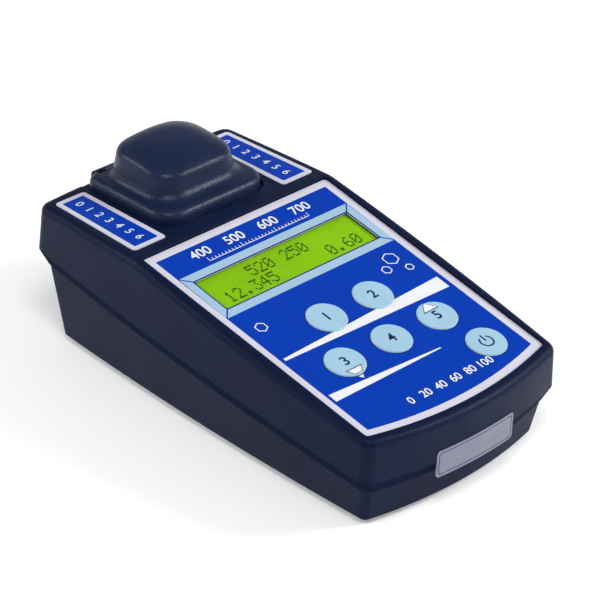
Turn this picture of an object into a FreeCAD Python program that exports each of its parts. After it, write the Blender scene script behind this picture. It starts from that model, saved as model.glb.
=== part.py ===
import FreeCAD, Part
import math
import os
import re
import Sketcher
from FreeCAD import Placement, Rotation, Vector

# Bench colorimeter. +Z up, +Y towards the lid end, -Y towards the user, +X to the user's right.
# The origin is on the ground under the middle of the case. All lengths are in millimetres.

os.makedirs("parts", exist_ok=True)
doc = FreeCAD.newDocument("colorimeter")

# Driving sizes
SIZES = [
    # Plan outline: half width and reach to each end at the lip, and the draw to the bottom and the top
    ("lip_half", 43.2), ("lip_front", 78.0), ("lip_back", 78.2),
    ("base_draw_half", 4.6), ("base_draw_front", 5.3), ("base_draw_back", 8.5),
    ("top_draw_half", 0.8), ("top_draw_front", 1.3), ("top_draw_back", 1.6),
    ("side_bow", 1150.0), ("front_bow", 146.0), ("back_bow", 480.0),
    ("base_corner", 3.2), ("lip_corner", 4.2), ("inner_corner", 1.4),
    # Heights and slopes of the case
    ("foot_height", 1.2), ("lip_height", 25.2), ("lip_slope", 5.2),
    ("band_height", 5.2), ("band_inset", 2.4), ("seam_reveal", 0.4), ("seam_gap", 0.25),
    ("crease_y", 27.4), ("crease_z", 49.23), ("panel_slope", 9.5), ("deck_slope", 1.67),
    ("blank_top", 51.0), ("crease_round", 16.0), ("edge_round", 2.6), ("base_bevel", 1.2),
    # Walls
    ("wall", 2.2), ("floor", 2.2), ("roof", 3.6), ("lip_relief", 0.4),
    # Keypad panel: places are measured up the slope from the display's centre
    ("lcd_from_crease", 24.2), ("panel_recess", 1.0), ("overlay_thick", 0.4),
    ("overlay_crease", 0.2), ("overlay_rim", 9.783), ("overlay_back_rim", 4.34),
    ("overlay_front_rim", 5.31), ("overlay_corner", 1.2),
    ("overlay_gap", 0.25),
    ("window_half_x", 32.25), ("window_half_y", 7.4), ("window_gap", 0.1),
    ("key_radius", 6.5), ("key_gap", 0.15), ("key_proud", 0.55), ("key_bevel", 0.3), ("key_lift", 0.02),
    ("stem_radius", 2.2), ("stem_hole", 2.6), ("stem_length", 3.6),
    ("key_pitch", 19.66), ("key_shift", 0.13), ("upper_row", 27.2), ("lower_row", 45.35),
    ("power_x", 23.7), ("power_y", 62.52),
    # Display module
    ("glass_border_x", 1.35), ("glass_border_y", 4.0), ("glass_thick", 2.6), ("glass_play", 0.8),
    ("bezel_side", 0.8), ("bezel_depth", 6.2), ("bezel_skin", 0.4), ("bezel_lip", 0.6),
    ("bezel_gap", 0.2), ("bezel_corner", 1.0),
    ("lamp_thick", 2.6), ("lcd_board_half_x", 40.0), ("lcd_board_border_y", 5.4), ("lcd_board_corner", 1.0),
    ("board_thick", 1.6), ("module_gap", 0.1), ("display_post_inset", 2.4), ("display_post_radius", 2.0),
    ("display_post_gap", 0.4),
    # Key board and main board
    ("key_board_side", 3.9), ("key_board_front", 5.1), ("key_board_back", 6.6), ("board_corner", 2.0),
    ("switch_half", 3.0), ("switch_body", 3.5), ("switch_cap", 1.4), ("switch_clear", 0.5),
    ("switch_button", 1.7),
    ("key_post_inset", 3.4), ("key_post_back", 2.8), ("key_post_radius", 2.2),
    ("main_half", 31.0), ("main_front", 6.0), ("main_back", 36.0), ("main_height", 15.0), ("post_inset", 4.0),
    ("chip_half", 6.0), ("chip_y", 8.0), ("chip_thick", 1.4), ("chip_corner", 0.6),
    ("buzzer_x", 20.0), ("buzzer_y", 24.0), ("buzzer_radius", 6.0), ("buzzer_height", 6.5), ("buzzer_vent", 1.0),
    # Lid, measured on the deck from the middle of the lid pocket
    ("lid_from_crease", 29.2), ("pocket_half", 22.6), ("pocket_front", 22.1),
    ("pocket_corner", 7.0), ("pocket_depth", 1.4),
    ("flange_half", 22.0), ("flange_front", 21.6), ("flange_back", 17.9),
    ("flange_corner", 9.0), ("flange_rear_corner", 5.0), ("flange_top", 3.0), ("flange_lift", 0.3),
    ("flange_round", 2.0), ("notch_half", 4.4), ("notch_reach", 0.9),
    ("tower_half_x", 15.9), ("tower_half_y", 14.3), ("tower_corner", 7.6), ("tower_draft", 0.4),
    ("cove_side", 3.9), ("cove_front", 5.0), ("cove_back", 1.5), ("cove_rise", 4.6),
    ("crest_height", 11.6), ("crest_round", 1.3), ("crown_height", 17.2),
    ("lid_bore", 12.7), ("lid_ceiling", 10.6), ("lid_dimple", 7.6), ("lid_dimple_top", 13.2),
    ("hinge_y", 17.4), ("hinge_z", 1.4), ("barrel_radius", 2.3), ("pin_radius", 1.0),
    ("pin_clear", 0.06), ("ear_inner", 14.6), ("ear_outer", 17.2), ("ear_clear", 0.35),
    ("seal_inner", 13.6), ("seal_outer", 16.0), ("seal_thick", 1.0), ("seal_clear", 0.15),
    # Sample well and its light path
    ("well_radius", 12.2), ("well_outer", 13.8), ("well_depth", 33.0), ("well_floor", 1.4),
    ("well_mouth", 12.8), ("arm_reach", 25.0), ("arm_half", 6.0), ("beam_depth", 20.0),
    ("beam_radius", 1.6), ("lamp_radius", 2.5), ("lamp_length", 7.0), ("lamp_flange", 2.9),
    ("cell_radius", 4.1), ("filter_radius", 4.0), ("filter_thick", 2.0), ("lens_thick", 2.2),
    ("detector_thick", 2.4), ("optic_gap", 0.2), ("card_half", 8.0), ("card_thick", 1.2),
    ("arm_root", 8.0), ("lamp_rim", 1.0), ("lamp_clear", 0.1),
    # Battery, its bay and its door
    ("battery_half", 13.25), ("battery_length", 48.5), ("battery_thick", 17.5),
    ("battery_back", 15.5), ("battery_round", 2.0), ("battery_lift", 0.3), ("terminal_height", 2.8),
    ("terminal_x", 6.35), ("small_terminal", 2.9), ("large_terminal", 3.6),
    ("bay_gap", 0.5), ("bay_wall", 1.8), ("bay_height", 15.0), ("snap_thick", 3.0),
    ("snap_side", 0.5), ("snap_half", 6.0), ("snap_corner", 1.2),
    ("door_half", 15.0), ("door_front", 60.0), ("door_back", 14.0), ("door_thick", 1.15),
    ("door_gap", 0.25), ("door_slide", 8.0), ("door_ledge", 1.8), ("door_corner", 2.0),
    ("grip_half", 6.0), ("grip_start", 6.8), ("grip_wide", 1.2), ("grip_pitch", 3.0), ("grip_deep", 0.5),
    # Labels and badge
    ("label_thick", 0.3), ("label_front", 24.6), ("label_back", 14.4), ("label_from_pocket", 2.15),
    ("label_front_rim", 5.3), ("label_back_rim", 6.6), ("label_corner", 1.2),
    ("badge_half", 16.4), ("badge_height", 9.3), ("badge_from_lip", 3.3), ("badge_thick", 0.5),
    ("badge_sink", 0.12), ("badge_gap", 0.1), ("badge_seat", 0.04), ("badge_pad_inset", 0.4),
    ("badge_overhang", 1.4), ("badge_corner", 1.3),
    # Fasteners and feet
    ("post_side", 6.6), ("post_front", 11.2), ("post_back", 8.2), ("post_radius", 3.3),
    ("screw_radius", 1.3), ("screw_head", 2.7), ("screw_head_thick", 2.2), ("screw_sink", 6.0),
    ("screw_clear", 0.2), ("pilot_clear", 0.05), ("screw_length", 12.0),
    ("foot_radius", 5.0), ("foot_side", 9.1), ("foot_front", 26.7), ("foot_back", 25.7),
    ("foot_sink", 0.8), ("foot_clear", 0.15),
    ("spacer_radius", 2.4), ("spacer_hole", 1.1), ("small_head", 1.9), ("small_head_thick", 1.5),
    ("small_screw", 1.0), ("small_depth", 4.0),
]
VALUE = dict(SIZES)

sheet = doc.addObject("Spreadsheet::Sheet", "Sizes")
for row, (alias, size) in enumerate(SIZES, start=1):
    sheet.set(f"A{row}", alias)
    sheet.set(f"B{row}", str(size))
    sheet.setAlias(f"B{row}", alias)
doc.recompute()


def cells(text):
    """Turn the aliases in a formula into references to the sheet."""
    return re.sub(r"[a-z_]+", lambda m: "Sizes." + m[0] if m[0] in VALUE else m[0], text)


def number(text):
    """Value of a formula now, for a sketch's first guess."""
    return float(sheet.evalExpression(cells(text)))


def bind(thing, formulas):
    for name, formula in formulas.items():
        thing.setExpression(name, cells(formula))


# Places and sizes worked out from the driving ones
GLASS_HALF_X = "(window_half_x + glass_border_x)"
GLASS_HALF_Y = "(window_half_y + glass_border_y)"
BEZEL_HALF_X = f"({GLASS_HALF_X} + glass_play + bezel_skin + bezel_side)"
BEZEL_HALF_Y = f"({GLASS_HALF_Y} + glass_play + bezel_skin)"
BEZEL_TOP = "(-overlay_thick - module_gap)"
GLASS_TOP = f"({BEZEL_TOP} - bezel_skin - module_gap)"
DISPLAY_BOARD_TOP = f"({BEZEL_TOP} - bezel_depth)"
DISPLAY_POST_X = "(lcd_board_half_x - display_post_inset)"
DISPLAY_POST_Y = f"({BEZEL_HALF_Y} + bezel_gap + display_post_radius + display_post_gap)"
KEY_BOARD_TOP = "(-stem_length - switch_clear - switch_cap - switch_body)"
KEY_BOARD_HALF = "(power_x + key_board_side)"
KEY_POST_X = f"({KEY_BOARD_HALF} - key_post_inset)"
SEAM_Z = "(lip_height - band_height)"
BADGE_TOP = "(lip_height - badge_from_lip)"
BADGE_BOTTOM = f"({BADGE_TOP} - badge_height)"

# Frames: the case itself, the sloping keypad panel and the deck that carries the lid
PANEL_TILT = "panel_slope * 1 deg"
DECK_TILT = "deck_slope * 1 deg"
LIP_TILT = "lip_slope * 1 deg"
PANEL_Y = f"(crease_y - lcd_from_crease * cos({PANEL_TILT}) + panel_recess * sin({PANEL_TILT}))"
PANEL_Z = f"(crease_z - lcd_from_crease * sin({PANEL_TILT}) - panel_recess * cos({PANEL_TILT}))"
DECK_Y = f"(crease_y + lid_from_crease * cos({DECK_TILT}))"
DECK_Z = f"(crease_z - lid_from_crease * sin({DECK_TILT}))"
FRAMES = {
    "case": ("0", "0", "0"),
    "panel": (PANEL_Y, PANEL_Z, "panel_slope"),
    "deck": (DECK_Y, DECK_Z, "-deck_slope"),
}


def place(thing, frame, x="0", y="0", z="0"):
    """Put a thing at a point of a frame, turned with the frame."""
    origin_y, origin_z, tilt = FRAMES[frame]
    turn = f"({tilt}) * 1 deg"
    thing.Placement = Placement(Vector(), Rotation(Vector(1, 0, 0), 1))
    bind(thing, {
        "Placement.Rotation.Angle": tilt,
        "Placement.Base.x": x,
        "Placement.Base.y": f"{origin_y} + ({y}) * cos({turn}) - ({z}) * sin({turn})",
        "Placement.Base.z": f"{origin_z} + ({y}) * sin({turn}) + ({z}) * cos({turn})",
    })
    return thing


# Plain solids and booleans
def box(name, frame, x, y, z):
    """Block between pairs of limits along each axis of a frame."""
    block = doc.addObject("Part::Box", name)
    for side, (low, high) in zip(("Length", "Width", "Height"), (x, y, z)):
        bind(block, {side: f"({high}) - ({low})"})
    return place(block, frame, x[0], y[0], z[0])


def rod(name, frame, x, y, z, radius):
    """Upright round bar between two heights."""
    bar = doc.addObject("Part::Cylinder", name)
    bind(bar, {"Radius": radius, "Height": f"({z[1]}) - ({z[0]})"})
    return place(bar, frame, x, y, z[0])


def fuse(name, parts):
    joined = doc.addObject("Part::MultiFuse", name)
    joined.Shapes = parts
    joined.Refine = True
    return joined


def group(name, parts):
    """Several separate solids in one node."""
    together = doc.addObject("Part::Compound", name)
    together.Links = parts
    return together


def cut(name, base, tools):
    tool = tools[0] if len(tools) == 1 else fuse(name + "_tools", tools)
    result = doc.addObject("Part::Cut", name)
    result.Base = base
    result.Tool = tool
    return result


# Sketched bodies
def new_body(name, frame="case"):
    body = doc.addObject("PartDesign::Body", name)
    if frame != "case":
        place(body, frame)
    return body


def new_sketch(body, role, lift="0", tilt=None):
    """Sketch on one of the body's own planes, lifted along its normal and tilted about x."""
    plane = [item for item in body.Origin.OriginFeatures if item.Role == role][0]
    sketch = body.newObject("Sketcher::SketchObject", body.Name + "_sketch")
    sketch.AttachmentSupport = [(plane, "")]
    sketch.MapMode = "FlatFace"
    sketch.AttachmentOffset = Placement(Vector(), Rotation(Vector(1, 0, 0), 1))
    bind(sketch, {"AttachmentOffset.Base.z": lift, "AttachmentOffset.Rotation.Angle": tilt or "0"})
    return sketch


def pin_point(sketch, geometry, point, x, y):
    """Hold a point of the sketch at formulas for its two coordinates."""
    now = sketch.getPoint(geometry, point)
    for kind, formula, value in (("DistanceX", x, now.x), ("DistanceY", y, now.y)):
        rule = sketch.addConstraint(Sketcher.Constraint(kind, -1, 1, geometry, point, value))
        bind(sketch, {f"Constraints[{rule}]": formula})


def set_radius(sketch, geometry, formula, guess):
    rule = sketch.addConstraint(Sketcher.Constraint("Radius", geometry, guess))
    bind(sketch, {f"Constraints[{rule}]": formula})


def polygon(sketch, corners):
    """Closed outline through corners that are pairs of formulas."""
    points = [Vector(number(x), number(y), 0) for x, y in corners]
    count = len(points)
    for i in range(count):
        sketch.addGeometry(Part.LineSegment(points[i], points[(i + 1) % count]), False)
    for i in range(count):
        sketch.addConstraint(Sketcher.Constraint("Coincident", i, 2, (i + 1) % count, 1))
    for i, (x, y) in enumerate(corners):
        pin_point(sketch, i, 1, x, y)


def bowed_front(sketch, back_half, front_half, back, front, bow):
    """Outline with straight sides that narrow to a front edge bowed outwards."""
    corners = [(f"-({front_half})", front), (front_half, front), (back_half, back), (f"-({back_half})", back)]
    near = [(number(x), number(y)) for x, y in corners]
    half = near[1][0]
    radius = number(bow)
    centre_y = near[0][1] + math.sqrt(radius ** 2 - half ** 2)
    turn = math.asin(half / radius)
    circle = Part.Circle(Vector(0, centre_y, 0), Vector(0, 0, 1), radius)
    sketch.addGeometry(Part.ArcOfCircle(circle, -math.pi / 2 - turn, -math.pi / 2 + turn), False)
    for i in (1, 2, 3):
        ends = near[i], near[(i + 1) % 4]
        sketch.addGeometry(Part.LineSegment(*[Vector(x, y, 0) for x, y in ends]), False)
    for i in range(4):
        sketch.addConstraint(Sketcher.Constraint("Coincident", i, 2, (i + 1) % 4, 1))
        pin_point(sketch, i, 1, *corners[i])
    set_radius(sketch, 0, bow, radius)


def circle(sketch, x, y, radius):
    centre = Vector(number(x), number(y), 0)
    sketch.addGeometry(Part.Circle(centre, Vector(0, 0, 1), number(radius)), False)
    pin_point(sketch, 0, 3, x, y)
    set_radius(sketch, 0, radius, number(radius))


def pad(body, sketch, length, reverse=False):
    block = body.newObject("PartDesign::Pad", body.Name + "_pad")
    block.Profile = sketch
    block.Reversed = reverse
    bind(block, {"Length": length})
    return block


def round_edges(body, feature, chosen, radius):
    """Round the edges of a body's feature that a test picks out."""
    doc.recompute()
    names = [f"Edge{i}" for i, edge in enumerate(feature.Shape.Edges, start=1) if chosen(edge)]
    soft = body.newObject("PartDesign::Fillet", body.Name + "_round")
    soft.Base = (feature, names)
    bind(soft, {"Radius": radius})
    return soft


def upright(edge):
    start, end = edge.Vertexes[0].Point, edge.Vertexes[-1].Point
    return abs(start.z - end.z) > 0.05 and math.hypot(start.x - end.x, start.y - end.y) < 0.01


def plate(name, frame, half_x, y, z, corner=None):
    """Flat rectangular plate, centred on x, with rounded corners."""
    body = new_body(name, frame)
    sketch = new_sketch(body, "XY_Plane", z[0])
    polygon(sketch, [(f"-({half_x})", y[0]), (half_x, y[0]), (half_x, y[1]), (f"-({half_x})", y[1])])
    solid = pad(body, sketch, f"({z[1]}) - ({z[0]})")
    if corner:
        round_edges(body, solid, upright, corner)
    return body


def rod_x(name, frame, x, y, z, radius):
    """Round bar along x."""
    body = new_body(name, frame)
    sketch = new_sketch(body, "YZ_Plane", x[0])
    circle(sketch, y, z, radius)
    pad(body, sketch, f"({x[1]}) - ({x[0]})")
    return body


# Case outline: four shallow bows that meet in tangent corner arcs
LEVELS = {
    "base": ("(lip_half - base_draw_half)", "(lip_front - base_draw_front)", "(lip_back - base_draw_back)"),
    "lip": ("lip_half", "lip_front", "lip_back"),
    "top": ("(lip_half - top_draw_half)", "(lip_front - top_draw_front)", "(lip_back - top_draw_back)"),
}
BASE_HALF, BASE_FRONT, BASE_BACK = LEVELS["base"]


def circles_meet(centre_a, radius_a, centre_b, radius_b):
    """Where two circles cross, the point further from the origin."""
    gap = centre_b - centre_a
    along = (radius_a ** 2 - radius_b ** 2 + gap.Length ** 2) / (2 * gap.Length)
    aside = math.sqrt(radius_a ** 2 - along ** 2)
    unit = gap / gap.Length
    across = Vector(-unit.y, unit.x, 0)
    both = [centre_a + unit * along + across * aside * side for side in (1, -1)]
    return both


def outline(body, level, inset, corner, lift, tilt=None):
    """Plan outline of the case at one level, drawn a distance inside it."""
    sketch = new_sketch(body, "XY_Plane", lift, tilt)
    half, front, back = (number(reach) for reach in LEVELS[level])
    gap, small = number(inset), number(corner)
    bows = {"front": VALUE["front_bow"], "side": VALUE["side_bow"], "back": VALUE["back_bow"]}
    centres = {
        "front": Vector(0, bows["front"] - front, 0),
        "right": Vector(half - bows["side"], 0, 0),
        "back": Vector(0, back - bows["back"], 0),
        "left": Vector(bows["side"] - half, 0, 0),
    }
    names = ("front", "right", "back", "left")
    kinds = {"front": "front", "right": "side", "back": "back", "left": "side"}
    corners = []
    for i, name in enumerate(names):
        after = names[(i + 1) % 4]
        both = circles_meet(centres[name], bows[kinds[name]] - gap - small,
                            centres[after], bows[kinds[after]] - gap - small)
        wanted_x = 1 if i < 2 else -1
        wanted_y = 1 if i in (1, 2) else -1
        corners.append(max(both, key=lambda p: wanted_x * p.x + wanted_y * p.y))

    def heading(start, end):
        return math.atan2(end.y - start.y, end.x - start.x)

    def arc(centre, radius, start, end):
        while end < start:
            end += 2 * math.pi
        ring = Part.Circle(centre, Vector(0, 0, 1), radius)
        sketch.addGeometry(Part.ArcOfCircle(ring, start, end), False)

    for i, name in enumerate(names):
        before, after = corners[i - 1], corners[i]
        centre = centres[name]
        arc(centre, bows[kinds[name]] - gap, heading(centre, before), heading(centre, after))
        arc(after, small, heading(centre, after), heading(centres[names[(i + 1) % 4]], after))
    for i in range(8):
        sketch.addConstraint(Sketcher.Constraint("Tangent", i, 2, (i + 1) % 8, 1))
    for i, name in enumerate(names):
        kind = kinds[name]
        set_radius(sketch, 2 * i, f"{kind}_bow - ({inset})", bows[kind] - gap)
        set_radius(sketch, 2 * i + 1, corner, small)
    half, front, back = LEVELS[level]
    pin_point(sketch, 0, 3, "0", f"front_bow - {front}")
    pin_point(sketch, 2, 3, f"{half} - side_bow", "0")
    pin_point(sketch, 4, 3, "0", f"{back} - back_bow")
    pin_point(sketch, 6, 3, f"side_bow - {half}", "0")
    return sketch


def lofted(name, levels):
    """Case-shaped solid through outlines from the bottom up."""
    body = new_body(name)
    sketches = [outline(body, *level) for level in levels]
    for low, high in zip(sketches, sketches[1:]):
        span = body.newObject("PartDesign::AdditiveLoft", name + "_loft")
        span.Profile = low
        span.Sections = [high]
        span.Ruled = True
    doc.recompute()
    return body


def seam_height(y):
    """Height of the parting plane at a place along the case."""
    return f"({SEAM_Z} + ({y}) * tan({LIP_TILT}))"


def roof_height(y):
    """Height of the panel's rim, in front of the crease."""
    return f"(crease_z + (({y}) - crease_y) * tan({PANEL_TILT}))"


def deck_height(y):
    return f"(crease_z - (({y}) - crease_y) * tan({DECK_TILT}))"


def trim_roof(body, depth):
    """Cut away everything above the panel and deck planes, a depth below the outside."""
    half_turn = f"({PANEL_TILT} + {DECK_TILT}) / 2"
    lean = f"({PANEL_TILT} - {DECK_TILT}) / 2"
    top_y = f"crease_y + ({depth}) / cos({half_turn}) * sin({lean})"
    top_z = f"crease_z - ({depth}) / cos({half_turn}) * cos({lean})"
    reach = "2 * lip_back"
    sketch = new_sketch(body, "YZ_Plane", "-lip_half * 2")
    front_z = f"{top_z} - ({reach}) * tan({PANEL_TILT})"
    back_z = f"{top_z} - ({reach}) * tan({DECK_TILT})"
    high = "2 * blank_top"
    polygon(sketch,
            [(f"{top_y} - {reach}", front_z), (top_y, top_z), (f"{top_y} + {reach}", back_z),
             (f"{top_y} + {reach}", high), (f"{top_y} - {reach}", high)])
    slot = body.newObject("PartDesign::Pocket", body.Name + "_roof")
    slot.Profile = sketch
    slot.Reversed = True
    bind(slot, {"Length": "lip_half * 4"})
    doc.recompute()
    return slot


PARTS = []


def part(thing, label):
    thing.Label = label
    PARTS.append(thing)
    return thing


def boss_places():
    return [(f"{side}({BASE_HALF} - post_side)", y) for side in ("", "-")
            for y in (f"-({BASE_FRONT} - post_front)", f"{BASE_BACK} - post_back")]


def upper_housing():
    outer = lofted("upper_outer", [
        ("lip", "band_inset", "lip_corner - 1", f"{SEAM_Z} + seam_gap", "lip_slope"),
        ("lip", "0", "lip_corner", "lip_height", "lip_slope"),
        ("top", "0", "lip_corner", "blank_top", None),
    ])
    roof_cut = trim_roof(outer, "0")

    def on_crease(edge):
        low, high = edge.BoundBox.YMin, edge.BoundBox.YMax
        return edge.Length > VALUE["lip_half"] and high - low < 1 and abs(low - VALUE["crease_y"]) < 1

    creased = round_edges(outer, roof_cut, on_crease, "crease_round")
    doc.recompute()
    roof_faces = [face for face in creased.Shape.Faces if face.normalAt(*middle(face)).z > 0.9]
    rim = outer_edges(roof_faces)
    round_edges(outer, creased, lambda edge: any(edge.isSame(other) for other in rim), "edge_round")

    core = lofted("upper_core", [
        ("lip", "band_inset + wall", "inner_corner", f"{SEAM_Z} - 1", "lip_slope"),
        ("lip", "wall + lip_relief", "inner_corner", "lip_height", "lip_slope"),
        ("top", "wall", "inner_corner", "blank_top", None),
    ])
    trim_roof(core, "roof")
    shell = cut("upper_shell", outer, [core])

    added = [shell]
    drilled = []
    for i, (x, y) in enumerate(boss_places()):
        top = roof_height(y) if y.startswith("-") else deck_height(y)
        added.append(rod(f"upper_boss_{i}", "case", x, y, (seam_height(y), f"{top} - roof / 2"), "post_radius"))
        drilled.append(rod(f"upper_pilot_{i}", "case", x, y,
                           (f"{seam_height(y)} - 1", f"{seam_height(y)} + screw_length"),
                           "screw_radius + pilot_clear"))
    added.append(bowed_band("badge_pad", "badge_sink + badge_thick + badge_seat", "band_inset + wall / 2",
                            "badge_half - badge_pad_inset", (f"{BADGE_BOTTOM} + badge_overhang", f"{BADGE_TOP} - 2")))

    # Lid pocket, open towards the back, and the mouth over the sample well
    pocket = plate("lid_pocket", "deck", "pocket_half", ("-pocket_front", "pocket_front + 8"),
                   ("-pocket_depth", "8"))
    round_front_corners(pocket, "pocket_corner")
    mouth = rod("well_mouth", "deck", "0", "0", ("-roof - 1", "1"), "well_mouth")
    notch = box("finger_notch", "deck", ("-notch_half", "notch_half"),
                ("-pocket_front - notch_reach", "-pocket_front + 1"), ("-pocket_depth", "2"))
    for name, (x, y, reach) in panel_posts().items():
        added.append(rod(name, "panel", x, y, (reach, "-roof + panel_recess + 0.5"), panel_post_radius(name)))
        drilled.append(rod(name + "_pilot", "panel", x, y, (f"{reach} - 1", f"{reach} + small_depth"),
                           "small_screw + pilot_clear"))
    body = cut("upper_pocketed", fuse("upper_joined", added), [pocket, mouth, notch])

    ears = []
    for i, side in enumerate(("-", "")):
        x = sorted((f"{side}ear_inner", f"{side}ear_outer"), key=number)
        ears.append(rod_x(f"ear_round_{i}", "deck", x, "hinge_y", "hinge_z", "barrel_radius"))
        ears.append(box(f"ear_foot_{i}", "deck", x, ("hinge_y - barrel_radius", "hinge_y + barrel_radius"),
                        ("-roof / 2 - pocket_depth / 2", "hinge_z")))
    body = fuse("upper_eared", [body] + ears)

    drilled.append(rod_x("ear_bore", "deck", ("-ear_outer - 1", "ear_outer + 1"), "hinge_y", "hinge_z",
                         "pin_radius + pin_clear"))
    drilled.append(overlay_blank("overlay_recess", "overlay_gap", "-overlay_thick", "panel_recess + 2"))
    drilled.append(plate("display_opening", "panel", f"{BEZEL_HALF_X} + bezel_gap",
                         (f"-{BEZEL_HALF_Y} - bezel_gap", f"{BEZEL_HALF_Y} + bezel_gap"), ("-roof", "1"),
                         "bezel_corner"))
    for i, (x, y) in enumerate(key_places().values()):
        drilled.append(rod(f"stem_hole_{i}", "panel", x, y, ("-roof - 1", "1"), "stem_hole"))
    drilled.append(bowed_band("badge_recess", "badge_sink - 2", "badge_thick + 2", "badge_half + badge_gap",
                              (f"{BADGE_BOTTOM} - 1", f"{BADGE_TOP} + badge_gap")))
    part(cut("upper_housing", body, drilled), "upper_housing")


def panel_posts():
    """Posts under the roof that carry the display board and the key board, with the level they reach."""
    posts = {}
    for i, side in enumerate(("", "-")):
        for j, y in enumerate(("-" + DISPLAY_POST_Y, DISPLAY_POST_Y)):
            posts[f"display_post_{i}{j}"] = (side + DISPLAY_POST_X, y, DISPLAY_BOARD_TOP)
        for j, y in enumerate(("-(lower_row + power_y) / 2", "key_post_back - upper_row")):
            posts[f"key_post_{i}{j}"] = (side + KEY_POST_X, y, KEY_BOARD_TOP)
    return posts


def panel_post_radius(name):
    return "display_post_radius" if name.startswith("display") else "key_post_radius"


def drilled_board(name, board, places, frame, low, high):
    """Board with a hole for each of its screws."""
    holes = [rod(f"{name}_hole_{i}", frame, x, y, (f"{low} - 1", f"{high} + 1"), "spacer_hole + screw_clear")
             for i, (x, y) in enumerate(places)]
    return cut(name, board, holes)


def middle(face):
    low_u, high_u, low_v, high_v = face.ParameterRange
    return (low_u + high_u) / 2, (low_v + high_v) / 2


def outer_edges(faces):
    """Edges that belong to only one of the faces."""
    edges = [edge for face in faces for edge in face.Edges]
    return [edge for edge in edges if sum(edge.isSame(other) for other in edges) == 1]


def round_front_corners(body, radius):
    tip = body.Tip
    doc.recompute()
    front = min(vertex.Point.y for vertex in tip.Shape.Vertexes)
    round_edges(body, tip, lambda edge: upright(edge) and edge.Vertexes[0].Point.y < front + 1, radius)


def bowed_band(name, inset, depth, half, z):
    """Slice of a wall that follows the bow of the case front, a distance inside the lip's outline."""
    blocks = []
    for layer, place_in in (("outer", inset), ("inner", f"{inset} + {depth}")):
        blocks.append(lofted(f"{name}_{layer}", [
            ("lip", place_in, "lip_corner - band_inset", f"{BADGE_BOTTOM} / 2", None),
            ("lip", place_in, "lip_corner - band_inset", f"{BADGE_TOP} * 2", None),
        ]))
    window = new_body(name + "_window")
    sketch = new_sketch(window, "XZ_Plane", "lip_front * 0.8")
    polygon(sketch, [(f"-({half})", z[0]), (half, z[0]), (half, z[1]), (f"-({half})", z[1])])
    block = pad(window, sketch, "lip_front * 0.3")
    round_edges(window, block, lambda edge: edge.BoundBox.YLength > 1, "badge_corner")
    slice_of_outer = doc.addObject("Part::Common", name + "_slice")
    slice_of_outer.Base = blocks[0]
    slice_of_outer.Tool = window
    return cut(name, slice_of_outer, [blocks[1]])


def overlay_blank(name, grow, bottom, top):
    body = new_body(name, "panel")
    sketch = new_sketch(body, "XY_Plane", bottom)
    front = f"(lip_front + {PANEL_Y}) / cos({PANEL_TILT}) - overlay_rim"
    bowed_front(sketch, f"lip_half - overlay_back_rim + {grow}", f"lip_half - overlay_front_rim + {grow}",
                f"lcd_from_crease - overlay_crease + {grow}", f"-({front}) - {grow}", "front_bow")
    solid = pad(body, sketch, f"({top}) - ({bottom})")
    round_edges(body, solid, upright, "overlay_corner")
    return body


def key_places():
    """Key names and their centres on the panel."""
    return {
        "escape_key": ("-key_pitch / 2 + key_shift", "-upper_row"),
        "calibrate_key": ("key_pitch / 2 + key_shift", "-upper_row"),
        "store_key": ("-key_pitch + key_shift", "-lower_row"),
        "enter_key": ("key_shift", "-lower_row"),
        "read_key": ("key_pitch + key_shift", "-lower_row"),
        "power_key": ("power_x", "-power_y"),
    }


def panel_parts():
    holes = [rod(f"overlay_hole_{name}", "panel", x, y, ("-1", "1"), "key_radius + key_gap")
             for name, (x, y) in key_places().items()]
    holes.append(box("overlay_window", "panel", ("-window_half_x", "window_half_x"),
                     ("-window_half_y", "window_half_y"), ("-1", "1")))
    part(cut("keypad_overlay", overlay_blank("overlay_sheet", "0", "-overlay_thick", "0"), holes), "keypad_overlay")

    part(plate("window_sheet", "panel", "window_half_x - window_gap",
               ("-window_half_y + window_gap", "window_half_y - window_gap"),
               (f"{GLASS_TOP} + module_gap / 2", "0")), "display_window")

    for name, (x, y) in key_places().items():
        cap = new_body(name + "_cap", "panel")
        sketch = new_sketch(cap, "XY_Plane", "key_lift")
        circle(sketch, x, y, "key_radius")
        disc = pad(cap, sketch, "key_proud")
        doc.recompute()
        highest = disc.Shape.BoundBox.ZMax
        names = [f"Edge{i}" for i, edge in enumerate(disc.Shape.Edges, start=1)
                 if edge.BoundBox.ZMin > highest - 0.01]
        bevel = cap.newObject("PartDesign::Chamfer", name + "_bevel")
        bevel.Base = (disc, names)
        bind(bevel, {"Size": "key_bevel"})
        stem = rod(name + "_stem", "panel", x, y, ("-stem_length", "0.1"), "stem_radius")
        part(fuse(name, [cap, stem]), name)


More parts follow.
